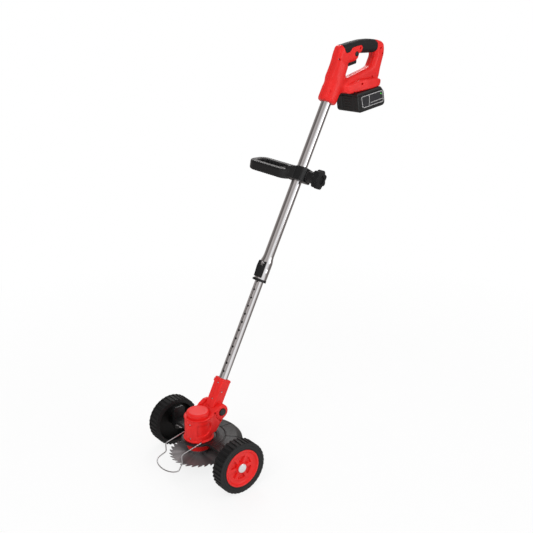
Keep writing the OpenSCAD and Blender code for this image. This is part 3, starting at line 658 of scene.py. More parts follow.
def moulded(name, colour, roughness, grain, depth, wear=0.06, coat=0.0, specular=0.32):
    """Moulded plastic: fine spark grain, a little unevenness in colour and gloss."""
    finish = Finish(name, Coat_Weight=coat, Coat_Roughness=0.25, Specular_IOR_Level=specular)
    finish.set("Base Color", finish.mottled(finish.noise(38, 3.0), colour, 1 - wear, 1 + wear))
    grains = finish.noise(grain, 2.0)
    smears = finish.noise(14, 4.0)
    finish.set("Roughness", roughness + (smears - 0.5) * 0.16 + (grains - 0.5) * 0.08)
    return finish.bump(grains, depth)


def tyre(name, colour):
    """Moulded tyre: dusty tread, and painted shade: the base colour is much darker inside the rim,
    where the wheel's well lies in shade.
    """
    finish = Finish(name, Specular_IOR_Level=0.35)
    _, y, z = finish.about(AXLE.origin)
    radius = (y * y + z * z) ** 0.5 * METRE
    rubbed = finish.noise(9, 4.0)
    tread = finish.mottled(rubbed, colour, 0.85, 1.25)
    # painted shade: inside the rim the base colour is darkened, standing in for the shade in the
    # wheel's well
    painted_shade_well = finish.mottled(rubbed, colour, 0.3, 0.5)
    finish.set("Base Color", finish.mix((radius - PAINTED_SHADE_R) * 0.5, painted_shade_well, tread))
    finish.set("Roughness", 0.52 + (rubbed - 0.5) * 0.2)
    return finish.bump(finish.noise(0.8), 0.06)


def soft_rubber(name, colour):
    """Soft overmould: a fine pebbled grain with a dull sheen."""
    finish = Finish(name, Sheen_Weight=0.05, Sheen_Roughness=0.4, Specular_IOR_Level=0.3)
    pebbles = finish.node("TexVoronoi", {"feature": "SMOOTH_F1"},
                          {"Vector": finish.at, "Scale": METRE / 1.1, "Smoothness": 0.6})
    dust = finish.noise(9, 4.0)
    finish.set("Base Color", finish.ramp(dust, (0.35, shaded(colour, 0.85)),
                                         (0.75, shaded(colour, 1.3))))
    finish.set("Roughness", 0.62 + (dust - 0.5) * 0.2)
    return finish.bump(pebbles + finish.noise(0.5) * 0.4, 0.12)


def plated(name, colour, roughness, streak):
    """Bright plated tube: fine polishing lines along the pole."""
    finish = Finish(name, Metallic=1.0)
    lean = atan2(POLE_UP[1], POLE_UP[2])
    turned = finish.node("Mapping", {}, {"Vector": finish.at, "Rotation": (lean, 0, 0)})
    lines = finish.node("Mapping", {}, {"Vector": turned, "Scale": (1, 1, 0.02)})
    fine = finish.noise(0.6, 3.0, lines)
    finish.set("Base Color", finish.mottled(finish.noise(4, 2.0, lines), colour, 0.9, 1.0))
    finish.set("Roughness", roughness + (fine - 0.5) * streak + (finish.noise(25) - 0.5) * 0.05)
    return finish.bump(fine, 0.006)


def zinc(name, colour, roughness):
    """Zinc-plated or turned steel: small spangles and soft scratches."""
    finish = Finish(name, Metallic=1.0)
    spangle = finish.noise(1.6, 3.0)
    finish.set("Base Color", finish.mottled(spangle, colour, 0.85, 1.08))
    finish.set("Roughness", roughness + (spangle - 0.5) * 0.2)
    return finish.bump(finish.noise(0.8, 4.0), 0.02)


def ground_blade(name, colour):
    """Ground steel disc: rings of grinding marks, and painted highlights: the base colour is
    brighter and darker in sectors round the disc, standing in for its radial reflections.
    """
    finish = Finish(name, Metallic=0.55)
    x, y, _ = finish.about(MOTOR.origin)
    line = {"noise_dimensions": "1D"}
    rings = finish.node("TexNoise", line,
                        {"W": (x * x + y * y) ** 0.5 * METRE, "Scale": 1.7, "Detail": 3.0})
    # painted highlights: brighter and darker sectors in the base colour stand in for the radial
    # reflections of the ground steel
    painted_highlight_sectors = finish.node("TexNoise", line,
                          {"W": y.sum("ARCTAN2", y, x), "Scale": 2.2, "Detail": 2.0})
    finish.set("Base Color", finish.ramp(painted_highlight_sectors, (0.25, shaded(colour, 0.55)),
                                         (0.5, colour), (0.75, shaded(colour, 1.35))))
    finish.set("Roughness", 0.42 + (rings - 0.5) * 0.2)
    return finish.bump(rings, 0.03)


def wound_copper(name, colour):
    finish = Finish(name, Metallic=0.8)
    turns = finish.node("TexWave", {"bands_direction": "Z"},
                        {"Vector": finish.at, "Scale": METRE / 6, "Distortion": 0.4})
    finish.set("Base Color", finish.mix(turns, (*shaded(colour, 0.6), 1), (*colour, 1)))
    finish.set("Roughness", 0.3 + turns * 0.2)
    return finish.bump(turns, 0.3)


def lens(name, colour):
    finish = Finish(name, Roughness=0.15, Emission_Strength=0.6)
    glow = finish.mottled(finish.noise(1.5), colour, 0.8, 1.0)
    finish.set("Base Color", glow)
    finish.set("Emission Color", glow)
    return finish.material


def streaked(level):
    """A soft-box grey, slightly warm where it is dark."""
    return (level, level * (0.86 + 0.14 * level), level * (0.8 + 0.2 * level))


WHITE = (1, 1, 1, 1)
# what polished metal mirrors: degrees round and brightness there
SKY_BANDS = ((-180, 0.5), (-130, 0.35), (-95, 0.16), (-62, 0.12), (-42, 0.5), (-14, 0.42),
             (4, 0.4), (20, 0.85), (36, 1.0), (60, 0.8), (97, 0.2), (125, 0.25), (180, 0.5))
FLOOR_BANDS = ((-180, 0.35), (-90, 0.4), (-20, 0.9), (5, 0.85), (24, 0.5), (42, 0.18),
               (92, 0.17), (125, 0.45), (180, 0.35))


def floor_finish(name, colour, whiteness):
    """A pale floor that shows white but keeps a soft shadow, and is banded in reflections.

    The white takes over completely away from the edger, so that the floor has no far edge.
    """
    finish = Finish(name, Roughness=0.9, Specular_IOR_Level=0.1)
    finish.set("Base Color", finish.mottled(finish.noise(60, 3.0), colour, 0.985, 1.0))
    x, y, _ = finish.parts(finish.at)
    banded = finish.glows("Emission", finish.around(y, x, FLOOR_BANDS))
    afar = (((x * x + y * y) ** 0.5 - 0.7) * 1.1).clamped()
    share = finish.ray("Camera") * (afar * (1 - whiteness) + whiteness)
    plain = Flow(finish.tree, finish.shader.outputs[0])
    seen = finish.either(share, plain, finish.glows("Emission", WHITE))
    finish.link(finish.either(finish.ray("Glossy"), seen, banded), finish.out.inputs[0])
    return finish.material


FINISHES = {}


def make_finishes():
    colours = bpy.context.scene.edger_finishes
    red, black = tuple(colours.shell_red), tuple(colours.moulded_black)
    makers = {
        "red_plastic": (moulded, red, 0.38, 0.55, 0.03, 0.06, 0.06),
        "black_plastic": (moulded, black, 0.38, 0.5, 0.05, 0.15, 0.0, 0.5),
        "tyre_black": (tyre, shaded(black, 1.1)),
        "soft_grip": (soft_rubber, shaded(black, 1.1)),
        "chromed_steel": (plated, (0.86, 0.86, 0.88), 0.14, 0.12),
        "plain_steel": (zinc, (0.72, 0.73, 0.75), 0.3),
        "blade_steel": (ground_blade, (0.22, 0.205, 0.21)),
        "copper_winding": (wound_copper, (0.6, 0.22, 0.08)),
        "white_cap": (zinc, (0.88, 0.89, 0.9), 0.42),
        "panel_dark": (moulded, (0.03, 0.03, 0.033), 0.3, 0.9, 0.01),
        "green_light": (lens, (0.12, 0.75, 0.1)),
        "cell_wrap": (moulded, (0.05, 0.15, 0.35), 0.3, 1.0, 0.01),
    }
    FINISHES.update({slot: maker(slot, *values) for slot, (maker, *values) in makers.items()})


# ------------------------------------------------------------------ motor head

SIDES = ((1, "left"), (-1, "right"))
SEAM = 0.15
HEAD_BASE = 20
BARREL_R = 34.5
BARREL_TOP = 80
SPINDLE_HOLE_R = 14
EAR_X = 30.0
EAR_GAP = 17.2
RECESS_R = 9.6
POCKET = [(-37.5, 37), (-37.5, 66.5), (-3, 66.5), (1.5, 63), (1, 56), (-3, 49), (-9, 42.5),
          (-19, 37)]
POCKET_DEPTH = 3.2
HEAD_SCREWS = [(15, 85.5), (30, 60.5)]
FRONT_SCREW_Z = (29, 67)
FRONT_SCREW_TURN = 19
GUARD_FOOT = (-33, 23.5)


def pole_side(off, s):
    """A point of the pole's side view, as seen from the axle."""
    return tuple(AXLE.local(POLE.world([0, off, s]))[1:])


def halves(name, form, place, low, high, step, body):
    """A red moulding in two shells that meet at the middle, the left one first."""
    for side, word in SIDES:
        shell = form.meet(half_space(place, 0, SEAM * side, side > 0), 0.6)
        near = (0 if side > 0 else low[0], *low[1:])
        far = (0 if side < 0 else high[0], *high[1:])
        skinned(f"{name}_{word}", shell, place, near, far, step, body, "red_plastic",
                [f"{name}_shell_{word}"])


def front_place(z):
    """A seat for a front screw of the barrel, facing ahead."""
    return MOTOR.moved(z=z).turned(2, FRONT_SCREW_TURN).facing((0, -1, 0))


def head_ears():
    """The ears that hold the neck, with the gap between them still filled."""
    ears = prism(AXLE, [(-16, 30), (18, 34), (29, 50), (43, 66), (51, 75), (49, 91), (36, 100.5),
                        (24, 98.5), (11, 88.5), (0, 81), (-16, 77)], -EAR_X, EAR_X, 4.5)
    higher = prism(AXLE, [(-12, 70), (-6, 85), (5, 96), (18, 104), (30, 104.5), (40, 90),
                          (20, 70)], -EAR_X, -18, 4.5)
    return ears.join(higher, 3).join(bar_x(AXLE, PIVOT, -EAR_X, EAR_X, 18.4, 4.5), 3)


def neck_gap():
    """The room in which the neck turns between the ears."""
    swing = [pole_side(-13.9, 103.5), pole_side(-13.9, 190), (300, 190), (300, 63.1),
             (PIVOT[0], 63.1), tuple(PIVOT)]
    knuckle = bar_x(AXLE, PIVOT, -EAR_GAP, EAR_GAP, 19.3, 0.3)
    return knuckle.join(prism(AXLE, swing, -EAR_GAP, EAR_GAP, 0.3))


def head_form():
    """Both shells of the head as one hollow body."""
    body = drum(MOTOR, HEAD_BASE, BARREL_TOP, BARREL_R, 2.4).join(head_ears(), 7)
    body = body.join(drum(MOTOR, 77.4, BARREL_TOP, BARREL_R + 1.1, 1.2), 1.5)
    for side in (-1, 1):
        low, high = sorted((18 * side, 60 * side))
        pocket = prism(AXLE, rounded_loop(POCKET, 4), low, high, 0.3)
        body = body.cut(pocket.cut(body.grown(-POCKET_DEPTH)), 1.2)
        body = body.cut(rod(AXLE, (31 * side, -4, 69.5), (36 * side, -4, 69.5), 1.7), 0.6)
    body = body.join(drum(MOTOR, HEAD_BASE, HEAD_BASE + 4, 38, 1.4), 2.0)
    for side in (-1, 1):
        seat = block(AXLE, (30 * side - 4, -37, HEAD_BASE), (30 * side + 4, -29, 27), 1.2)
        body = body.join(seat, 1.5)
        body = body.cut(bar_x(AXLE, PIVOT, 27.5 * side - 4, 27.5 * side + 4, RECESS_R, 0.4), 0.8)
    body = body.cut(bar_x(AXLE, PIVOT, 19.2, 31.5, RECESS_R, 0.4), 0.4)
    body = body.cut(neck_gap(), 0.8)
    body = body.cut(drum(MOTOR, 24, 76, 28, 1)).cut(drum(MOTOR, 60, 90, 24.2, 0.3))
    body = body.cut(drum(MOTOR, BARREL_TOP + 0.1, 140, 29.2, 0.2))
    body = body.cut(drum(MOTOR, 10, 30, SPINDLE_HOLE_R, 0.3))
    for at in HEAD_SCREWS:
        body = body.cut(bar_x(AXLE, at, 22, 60, 2.5, 0.3), 0.8)
    for z in FRONT_SCREW_Z:
        body = body.join(drum(front_place(z), 24, BARREL_R + 0.8, 4.6, 1.0), 1.2)
        body = body.cut(drum(front_place(z), BARREL_R - 1.4, 60, 3, 0.2), 0.6)
    for side in (-1, 1):
        body = body.cut(bar_x(AXLE, GUARD_FOOT, side * 34 - 7, side * 34 + 7, 1.6, 0.1), 0.3)
    return body


def make_head():
    halves("head", head_form(), AXLE, (-40, -56, 18), (40, 60, 104), 1.0, "head")
    turned_piece("motor_cap", MOTOR, filleted([(20.5, 80), (20.5, 74), (23.8, 74), (23.8, 80.15),
                 (29, 80.15), (29, 88.4), (27.9, 91.4), (24.8, 93), (12, 93), (0.05, 93)],
                 [0, 0, 0, 0, 0.6, 1.5, 2, 2, 2, 0]), "head", "red_plastic", ["motor_cap"])
    turned_piece("spindle_ring", MOTOR, filleted([(8, -7), (28.6, -7), (29.6, -6), (31.6, 2),
                 (32.6, 2.6), (34, 13), (33, 14), (26, 14), (26, 3), (8, 3)],
                 [0, 1, 0.5, 0.5, 0.5, 0.8, 0.5, 0, 0, 0]), "head", "red_plastic",
                 ["spindle_ring"], closed=True)
    seats = [side_place(AXLE, at, 22) for at in HEAD_SCREWS]
    seats += [front_place(z).moved(z=BARREL_R - 1.5) for z in FRONT_SCREW_Z]
    screw_heads("housing_screw_heads", seats, "head", 2.4, 1.4, "housing_screws")


def screw_heads(name, spots, body, radius, depth, node):
    """Pan heads with a cross recess. spots are the places of their seats, with Z outward."""
    points, faces = [], []
    profile = filleted([(0.05, 0), (radius, 0), (radius, depth * 0.45), (radius * 0.55, depth),
                        (0.05, depth)], [0, 0.1, radius * 0.35, 0.3, 0])
    angles = np.arange(24) * tau / 24
    radii, heights = profile[:, :1], np.repeat(profile[:, 1:], 24, 1)
    near_arm = np.minimum(np.abs(radii * np.sin(angles)), np.abs(radii * np.cos(angles)))
    cross = np.clip(1 - near_arm / (radius * 0.2), 0, 1)
    dip = cross * (radii < radius * 0.62) * (heights > depth * 0.6) * depth * 0.5
    local = np.stack([radii * np.cos(angles), radii * np.sin(angles), heights - dip], -1)
    for place in spots:
        faces += capped(len(profile), len(angles), len(points))
        points.extend(place.world(local.reshape(-1, 3)))
    new_piece(name, points, faces, body, "plain_steel", [node], 35)


def side_place(place, at, x):
    """A seat on the +X side at a point of the side view."""
    return place.moved(x=x, y=at[0], z=at[1]).facing((1, 0, 0))


# ------------------------------------------------------------------ shield and blade

SHIELD_R = 109.0
SHIELD_FRONT = -22
PANEL_ANGLES = (12, 48, 90, 132, 168)


def shield_relief(points):
    """Moulded creases on the shield's upper face: one ring and the lines between its panels."""
    q = MOTOR.local(points)
    radius = np.hypot(q[:, 0], q[:, 1])
    angle = np.degrees(np.arctan2(q[:, 1], q[:, 0]))
    top = np.clip((q[:, 2] - 8) / 3, 0, 1)
    ring = np.exp(-((radius - 66) / 1.1) ** 2)
    lines = 0
    for at in PANEL_ANGLES:
        off = np.radians(angle - at) * radius
        lines = np.maximum(lines, np.exp(-(off / 1.1) ** 2) * (radius > 64))
    return -size("crease_depth") * top * np.maximum(ring, lines)


def shield_form():
    """A half-round dome with a hollow underside, and an arm to each wheel."""
    profile = [(44, 15), (64, 16.4), (94, 14.0), (102, 10.4), (105.6, 6), (105.6, -12),
               (SHIELD_R, -12), (SHIELD_R + 1, 9), (109, 14), (105, 18.4), (96, 21.6), (70, 23.8),
               (52, 23), (44, 21.4)]
    shell = spun(MOTOR, profile).displaced(shield_relief)
    for side in (-1, 1):
        low, high = sorted((62 * side, 111.5 * side))
        shell = shell.join(block(AXLE, (low, SHIELD_FRONT - 4, 16.9), (high, 18, 20), 1.0), 3)
    shell = shell.cut(half_space(AXLE, 1, SHIELD_FRONT, False), 0.8)
    for side in (-1, 1):
        low, high = sorted((95 * side, 140 * side))
        shell = shell.cut(block(AXLE, (low, -60, -30), (high, 22, 16.6), 1), 0.8)
    shell = shell.join(drum(MOTOR, 14, 20.4, 44, 1.6), 1.5)
    return shell.cut(drum(MOTOR, 0, 30, SPINDLE_HOLE_R, 0.3))


def make_shield():
    skinned("guard_shield_moulding", shield_form(), AXLE, (-112, -62, -13), (112, 96, 26), 1.25,
            "head", "black_plastic", ["guard_shield"])


TOOTH_COUNT = 30
# radii and heights of the hard tips, which stand in a little from the blade's faces
TIP_R, TIP_BACK = 74.95, 71.2
BLADE_LOW, BLADE_HIGH = -23.55, -19.45
TIP_INSET = 0.9


def blade_tips():
    """A hard tip let into every tooth. Angles are shares of the pitch from tooth to tooth."""
    tip = [(TIP_BACK, 0.004), (TIP_R, -0.06), (TIP_R - 0.5, 0.1), (TIP_BACK + 0.4, 0.16)]
    points, faces = [], []
    for i in range(TOOTH_COUNT):
        faces += capped(2, len(tip), len(points))
        for z in (BLADE_LOW + TIP_INSET, BLADE_HIGH - TIP_INSET):
            for r, share in tip:
                a = tau * (i + share) / TOOTH_COUNT
                points.append(MOTOR.world([r * cos(a), r * sin(a), z]))
    new_piece("blade_tips", points, faces, "rotor", "plain_steel", (), 20)


def make_blade():
    dressed("saw_blade", "rotor", "blade_steel", bevel=0.18, segments=1, angle=30)
    blade_tips()
    turned_piece("blade_flange_turning", MOTOR, filleted([(4.55, -20.7), (20, -20.7), (20.4, -19),
                 (21.2, -16.5), (24, -9.5), (23.4, -8.7), (4.55, -8.7)],
                 [0, 0.4, 0.5, 2, 0.6, 0.4, 0]), "rotor", "plain_steel", ["blade_flange"],
                 closed=True)
    dressed("blade_nut", "rotor", "plain_steel", 0.4)


# ------------------------------------------------------------------ wheels

LUG_COUNT = 36
# the radius inside which the tyre's base colour is darkened as painted shade
PAINTED_SHADE_R = 51
# distances from the machine's middle, outward along the axle
WEB = 152.05
WEB_FACE = WEB - 2


def lug_angles():
    """Angles that put grid lines on every lug's edges, and each line's share of lug height."""
    pitch = tau / LUG_COUNT
    marks = [(-2.9, 0), (-2.35, 0.55), (-1.95, 1), (0, 1), (1.95, 1), (2.35, 0.55), (2.9, 0),
             (4.3, 0), (5.67, 0), (7.0, 0)]
    angles = [i * pitch + m / WHEEL_R for i in range(LUG_COUNT) for m, _ in marks]
    return np.array(angles), np.array([h for _ in range(LUG_COUNT) for _, h in marks])


def wheel_mesh(name, place, body, node):
    lug = size("lug_height")
    inner = WHEEL_OUT - WHEEL_WIDTH
    base = WHEEL_R - lug
    # radius, height, how far the radius follows the lugs
    rows = [(6.05, 125, 0), (12, 125, 0), (12, WEB - 3, 0), (52.5, WEB - 3, 0),
            (52.5, inner + 0.8, 0), (53.3, inner, 0), (base - 0.6, inner, 0),
            (base - 0.2, inner + 0.1, 0.5), (base, inner + 0.6, 0.92), (base, inner + 1.6, 1),
            (base, inner + 15, 1), (base, WHEEL_OUT - 5.4, 1), (base, WHEEL_OUT - 4.4, 1),
            (base, WHEEL_OUT - 3.6, 1.0), (WHEEL_R, WHEEL_OUT - 3.1, 0),
            (WHEEL_R, WHEEL_OUT - 2.4, 0), (WHEEL_R - 0.5, WHEEL_OUT - 1.3, 0),
            (WHEEL_R - 1.6, WHEEL_OUT - 0.8, 0), (58.4, WHEEL_OUT - 0.75, 0),
            (57.6, WHEEL_OUT - 1.35, 0), (56.4, WHEEL_OUT - 1.35, 0),
            (55.6, WHEEL_OUT - 0.75, 0), (48.2, WHEEL_OUT - 0.8, 0), (47.6, WHEEL_OUT - 1.4, 0),
            (47.6, WEB_FACE, 0), (9.6, WEB_FACE, 0), (9.6, WEB, 0), (6.05, WEB, 0)]
    rows = np.array(rows, float)
    angles, height = lug_angles()
    radii = rows[:, :1] + rows[:, 2:] * lug * height[None]
    heights = np.repeat(rows[:, 1:2], len(angles), 1)
    # the shoulder ring dips a little between the lugs
    shoulder = (rows[:, 0] >= WHEEL_R - 0.6)[:, None]
    radii -= shoulder * 0.7 * (1 - height[None])
    points = np.stack([radii * np.cos(angles), radii * np.sin(angles), heights], -1).reshape(-1, 3)
    faces = grid_faces(len(rows), len(angles), wrap_rows=True)
    new_piece(name, place.world(points), faces, body, "tyre_black", [node], 32)


POCKET_FLOOR = WEB_FACE + 0.4
DISH = WEB_FACE + 5.0
BOSS = WEB + 6.5
POCKET_IN, POCKET_OUT = 15.0, 29.0


def pocket_walls(angles, radii):
    """Share of the dish's height over its pockets: six arms with pockets between them."""
    turn = np.abs((np.degrees(angles) + 30) % 60 - 30)
    half = 15.5 + (np.clip(radii, POCKET_IN, POCKET_OUT) - POCKET_IN) * 0.42
    beside = np.clip((turn - half) / 2.2 + 0.5, 0, 1)
    inner = np.clip((POCKET_IN - radii) / 1.0 + 0.5, 0, 1)
    outer = np.clip((radii - POCKET_OUT) / 1.0 + 0.5, 0, 1)
    return np.maximum(np.maximum(beside, inner), outer)


def hub_mesh(name, place, body, node):
    pocket_radii = (13.9, 14.5, 15.0, 15.5, 17, 20, 23, 26, 28, 28.6, 29.1, 29.7, 31)
    rows = [(9.65, WEB_FACE + 0.1), (9.65, BOSS), (12, BOSS), (12.7, BOSS - 0.6), (13.2, DISH)]
    rows += [(r, POCKET_FLOOR) for r in pocket_radii]
    rows += [(34, DISH), (37.4, DISH + 0.2), (39.8, DISH + 1.1), (41.6, DISH + 2.6),
             (42.9, DISH + 4.6), (43.6, WHEEL_OUT - 0.6), (44.4, WHEEL_OUT - 0.08),
             (46.4, WHEEL_OUT - 0.05), (47.2, WHEEL_OUT - 0.4), (47.5, WHEEL_OUT - 1.3),
             (47.5, WEB_FACE + 0.1)]

    def lift(angles, radii, heights):
        pockets = (radii > 13.3) & (radii < 32)
        return radii, heights + pockets * (DISH - POCKET_FLOOR) * pocket_walls(angles, radii)

    turned_piece(name, place, rows, body, "red_plastic", [node], 240, closed=True, lift=lift,
                 sharp=50)


def cap_mesh(name, place, body, node):
    profile = filleted([(0.05, WEB + 5), (9.6, WEB + 5), (9.6, WEB + 6.6), (11.6, WEB + 6.6),
                        (11.4, WEB + 7.8), (10.2, WEB + 8.9), (0.05, WEB + 9.3)],
                       [0, 0, 0, 0.3, 0.6, 1.6, 0])
    turned_piece(name, place, profile, body, "white_cap", [node], 72)


def make_wheels():
    for side, word in SIDES:
        place, body = AXLE.facing((side, 0, 0)), word + "_wheel"
        wheel_mesh("wheel_moulding_" + word, place, body, "wheel_" + word)
        hub_mesh("hub_dish_" + word, place, body, "hub_cover_" + word)
        cap_mesh("hub_button_" + word, place, body, "hub_cap_" + word)
        dressed("wheel_arm_" + word, "head", "black_plastic", 1.2, 3)


def make_guard():
    """A wire with a bent leg on each side and a bow in front that is half an ellipse."""
    x, y, z = 43, -104, -23
    leg = [(28, *GUARD_FOOT), (36.4, *GUARD_FOOT), (36.4, -91, 11.5), (36.4, -90, -12.5), (x, y, z)]
    bow = [(x * cos(a), y - 23 * sin(a), z - 4 * sin(a))
           for a in np.radians(np.linspace(0, 90, 13))]
    half = np.concatenate([filleted(leg, [0, 3, 6, 5, 0], 5)[:-1], bow])
    path = np.concatenate([half, half[-2::-1] * [-1, 1, 1]])
    swept_piece("front_guard_wire", AXLE, path, size("wire_radius"), "front_guard",
                "plain_steel", ["wire_guard"])


# ------------------------------------------------------------------ neck, tubes and collar

KNUCKLE = (10.2, 97.3)
NECK_SIDE_SCREW = (-1.3, 142.7)


def neck_front_places():
    """Seats on the pole's axis of the two set screws in the neck's front face."""
    return [POLE.moved(x=2.5, z=s).facing((0, -1, 0)) for s in (119.3, 162)]


def neck_form():
    """A socket for the lower tube on a knuckle that turns between the head's ears."""
    body = block(POLE, (-16, -13.5, 96), (16, 15.5, 175), 4.2)
    body = body.meet(half_space(POLE, 2, 174.9, False), 1.0)
    body = body.join(block(POLE, (-16.6, -14.1, 168.5), (16.6, 16.1, 174.8), 3.8), 0.8)
    body = body.join(block(POLE, (-18, -13, 161), (-12, -7, 169), 1.2), 1.2)
    knuckle = bar_x(POLE, KNUCKLE, -16.8, 16.8, 17.6, 1.2)
    body = body.meet(half_space(POLE, 2, 100)).join(knuckle, 1.5)
    body = body.cut(drum(POLE, 112, 190, 11.05, 0.3), 0.6).cut(drum(POLE, 90, 120, 4, 0.3))
    body = body.cut(bar_x(POLE, KNUCKLE, -40, 40, 5.05, 0.1))
    body = body.cut(bar_x(POLE, NECK_SIDE_SCREW, 14, 40, 2.1, 0.2), 0.5)
    for place in neck_front_places():
        body = body.cut(drum(place, 12.3, 30, 2.1, 0.2), 0.5)
    return body


def make_neck():
    halves("neck", neck_form(), POLE, (-20, -20, 76), (20, 32, 178), 0.9, "lower_pole")
    seats = [side_place(POLE, NECK_SIDE_SCREW, 14.6)]
    seats += [place.moved(z=12.6) for place in neck_front_places()]
    screw_heads("neck_screw_heads", seats, "lower_pole", 1.9, 1.4, "neck_screws")


def make_tubes():
    dressed("lower_tube", "lower_pole", "chromed_steel", 0, angle=30)
    dressed("upper_tube", "upper_pole", "chromed_steel", 0, angle=30)
    flare = [(13 + 3 * (0.5 - 0.5 * cos(pi * t)), 501 - 19 * t) for t in np.linspace(0, 1, 9)]
    profile = [(13.02, 501)] + [(r + 0.35 * (1 - i / 8), s) for i, (r, s) in enumerate(flare)]
    profile += [(16, 470), (16, 468.6), (15.75, 468), (16, 467.4), (16, 441), (15.6, 440.1),
                (13.02, 440.1)]
    turned_piece("collar_flare", POLE, profile[::-1], "upper_pole", "chromed_steel",
                 ["collar_sleeve"], 96, closed=True)
    lug = prism(LATCH, [(-15, 474), (-19.6, 477), (-20.2, 480.5), (-19.4, 483), (-14, 485)],
                -4, 4, 0.6).meet(drum(POLE, 400, 520, 40).cut(drum(POLE, 400, 520, 15.8)))
    lug = lug.cut(bar_x(LATCH, (-18.3, 480.5), -9, 9, 1.25, 0.1))
    skinned("latch_lug", lug, LATCH, (-5, -22, 472), (5, -12, 487), 0.5, "upper_pole",
            "chromed_steel")
    dressed("collar_ring", "upper_pole", "black_plastic", 0.8, 3)
    dressed("latch_lever", "latch", "black_plastic", 1.0, 3)
    dressed("latch_pin", "upper_pole", "plain_steel", 0.3)
    dressed("pivot_button", "pivot_lock", "black_plastic", 0.8, 3)
    dressed("pivot_pin", "head", "plain_steel", 0.4)
    dressed("wing_nuts", "head", "plain_steel", 0.8)


# ------------------------------------------------------------------ D-handle

HANDLE_OUTLINE = [(5, 60), (18.5, 90.3), (27.5, 119.3), (34.6, 133.6), (40, 137), (49.4, 138.5),
                  (70.9, 142.8), (104.9, 148.4), (136.9, 149.8), (164.9, 146.9), (179.9, 142.8),
                  (186.5, 137), (189, 124.8), (188, 109.8), (183.8, 97.8), (176.5, 73.8),
                  (172, 52), (150, 42), (100, 33), (60, 28), (34, 22)]
FINGER_OUTLINE = [(48, 66), (50.5, 60.8), (57, 55.8), (62, 57), (134.5, 79.2), (142.5, 84),
                  (154, 107.8), (154, 115.3), (98.5, 115.3), (96, 103), (89, 97.6),
                  (62, 92)]
COVER_OUTLINE = [(41.9, 130.4), (48.9, 116.8), (62.9, 119.8), (68.9, 129.8), (85.5, 133.4),
                 (101.2, 135.8), (105.9, 129.8), (102.9, 120.8), (104, 108), (149, 108),
                 (149, 115.6), (157.5, 122.8), (160, 135.6), (150.9, 160), (40, 160)]
COVER_T = 2.4
HALF_GRIP = 17
FOOT_Z = 48.3
RAIL_X = 26
LOCK_AT = (84.4, 114.6)
HANDLE_SCREWS = [(28.5, 103.1), (171, 126), (98, 128.5), (178, 112)]
FOOT_SCREWS = [(92, 42), (142, 56)]
SCREW_HOLE_R = 2.6


def handle_screw_seats():
    """Side view and depth of every screw's seat."""
    return [(at, 9.5) for at in HANDLE_SCREWS] + list(zip(FOOT_SCREWS, (19, 12.5)))


def grip_frame():
    return prism(HANDLE, rounded_loop(HANDLE_OUTLINE, 6), -HALF_GRIP, HALF_GRIP, 12,
                 hole=rounded_loop(FINGER_OUTLINE, 5))


def handle_foot():
    """The spreading foot of the handle over the battery's rails."""
    foot = prism(BATTERY, [(-24, FOOT_Z + 8), (-12, FOOT_Z + 1), (-2, FOOT_Z), (84, FOOT_Z),
                           (91, FOOT_Z + 6), (96, FOOT_Z + 15), (66, FOOT_Z + 24),
                           (20, FOOT_Z + 28), (-20, FOOT_Z + 22)], -60, 60, 1)
    plan = [(-16, -30), (16, -30), (23, -18), (30, 10), (36.5, 40), (38.5, 78), (32, 94),
            (20, 100), (-20, 100), (-32, 94), (-38.5, 78), (-36.5, 40), (-30, 10), (-23, -18)]
    return foot.meet(prism(BATTERY, rounded_loop(plan, 10), 30, 90, 1, axis=2), 5)


def handle_form():
    """Both shells of the handle as one body, solid but for its openings."""
    stem = spun(POLE, [(-50, STEM_S), (19, STEM_S), (22.4, STEM_S + 1.6), (23.9, STEM_S + 6),
                       (23.9, STEM_S + 34), (HALF_GRIP, STEM_S + 98), (-50, STEM_S + 98)])
    body = grip_frame().join(handle_foot(), 10).join(stem, 14)
    body = body.join(bar_x(HANDLE, LOCK_AT, 0, HALF_GRIP + 0.6, 7.6, 1.0), 1.2)
    dimple = POLE.moved(z=STEM_S + 24).facing((0.74, -0.67, 0))
    body = body.cut(drum(dimple, 21.6, 40, 2.3, 0.4), 0.8)
    channel = block(BATTERY, (-RAIL_X - 0.3, -0.3, 20), (RAIL_X + 0.3, 160, FOOT_Z + 8), 0.2)
    body = body.cut(channel, 0.6).cut(drum(POLE, 880, 970, 13.0, 0.2), 0.8)
    trigger_room = [(50.5, 74), (50.5, 110), (60, 116), (88, 114), (96, 108), (97, 92), (60, 74)]
    body = body.cut(prism(HANDLE, trigger_room, -7.4, 7.4, 0.3), 0.6)
    for at, seat in handle_screw_seats():
        for low, high in ((seat, 60), (-60, -seat)):
            body = body.cut(bar_x(HANDLE, at, low, high, SCREW_HOLE_R, 0.2), 0.8)
    return body.cut(bar_x(HANDLE, LOCK_AT, 8, 40, 5.9, 0.1), 0.4)


def make_handle():
    cover = prism(HANDLE, rounded_loop(COVER_OUTLINE, 5), -60, 60, 0.1)
    core = grip_frame().grown(-COVER_T)
    shell = handle_form().cut(cover.cut(core), 0.5)
    halves("handle", shell, HANDLE, (-40, -45, -30), (40, 194, 152), 1.3, "upper_pole")
    overmould = grip_frame().meet(cover.grown(-0.3), 0.7).cut(core.grown(0.1))
    for at in HANDLE_SCREWS:
        overmould = overmould.cut(bar_x(HANDLE, at, -60, 60, 3.1, 0.1), 0.4)
    skinned("grip_overmould", overmould, HANDLE, (-18, 38, 106), (18, 162, 152), 0.9,
            "upper_pole", "soft_grip", ["grip_cover"])
    dressed("trigger", "trigger_lever", "black_plastic", 0.9, 3)
    dressed("lock_button", "lock", "black_plastic", 0.9, 3)
    seats = [side_place(HANDLE, at, seat) for at, seat in handle_screw_seats()]
    screw_heads("handle_screw_heads", seats, "upper_pole", 2.4, 1.2, "handle_screws")


# ------------------------------------------------------------------ battery

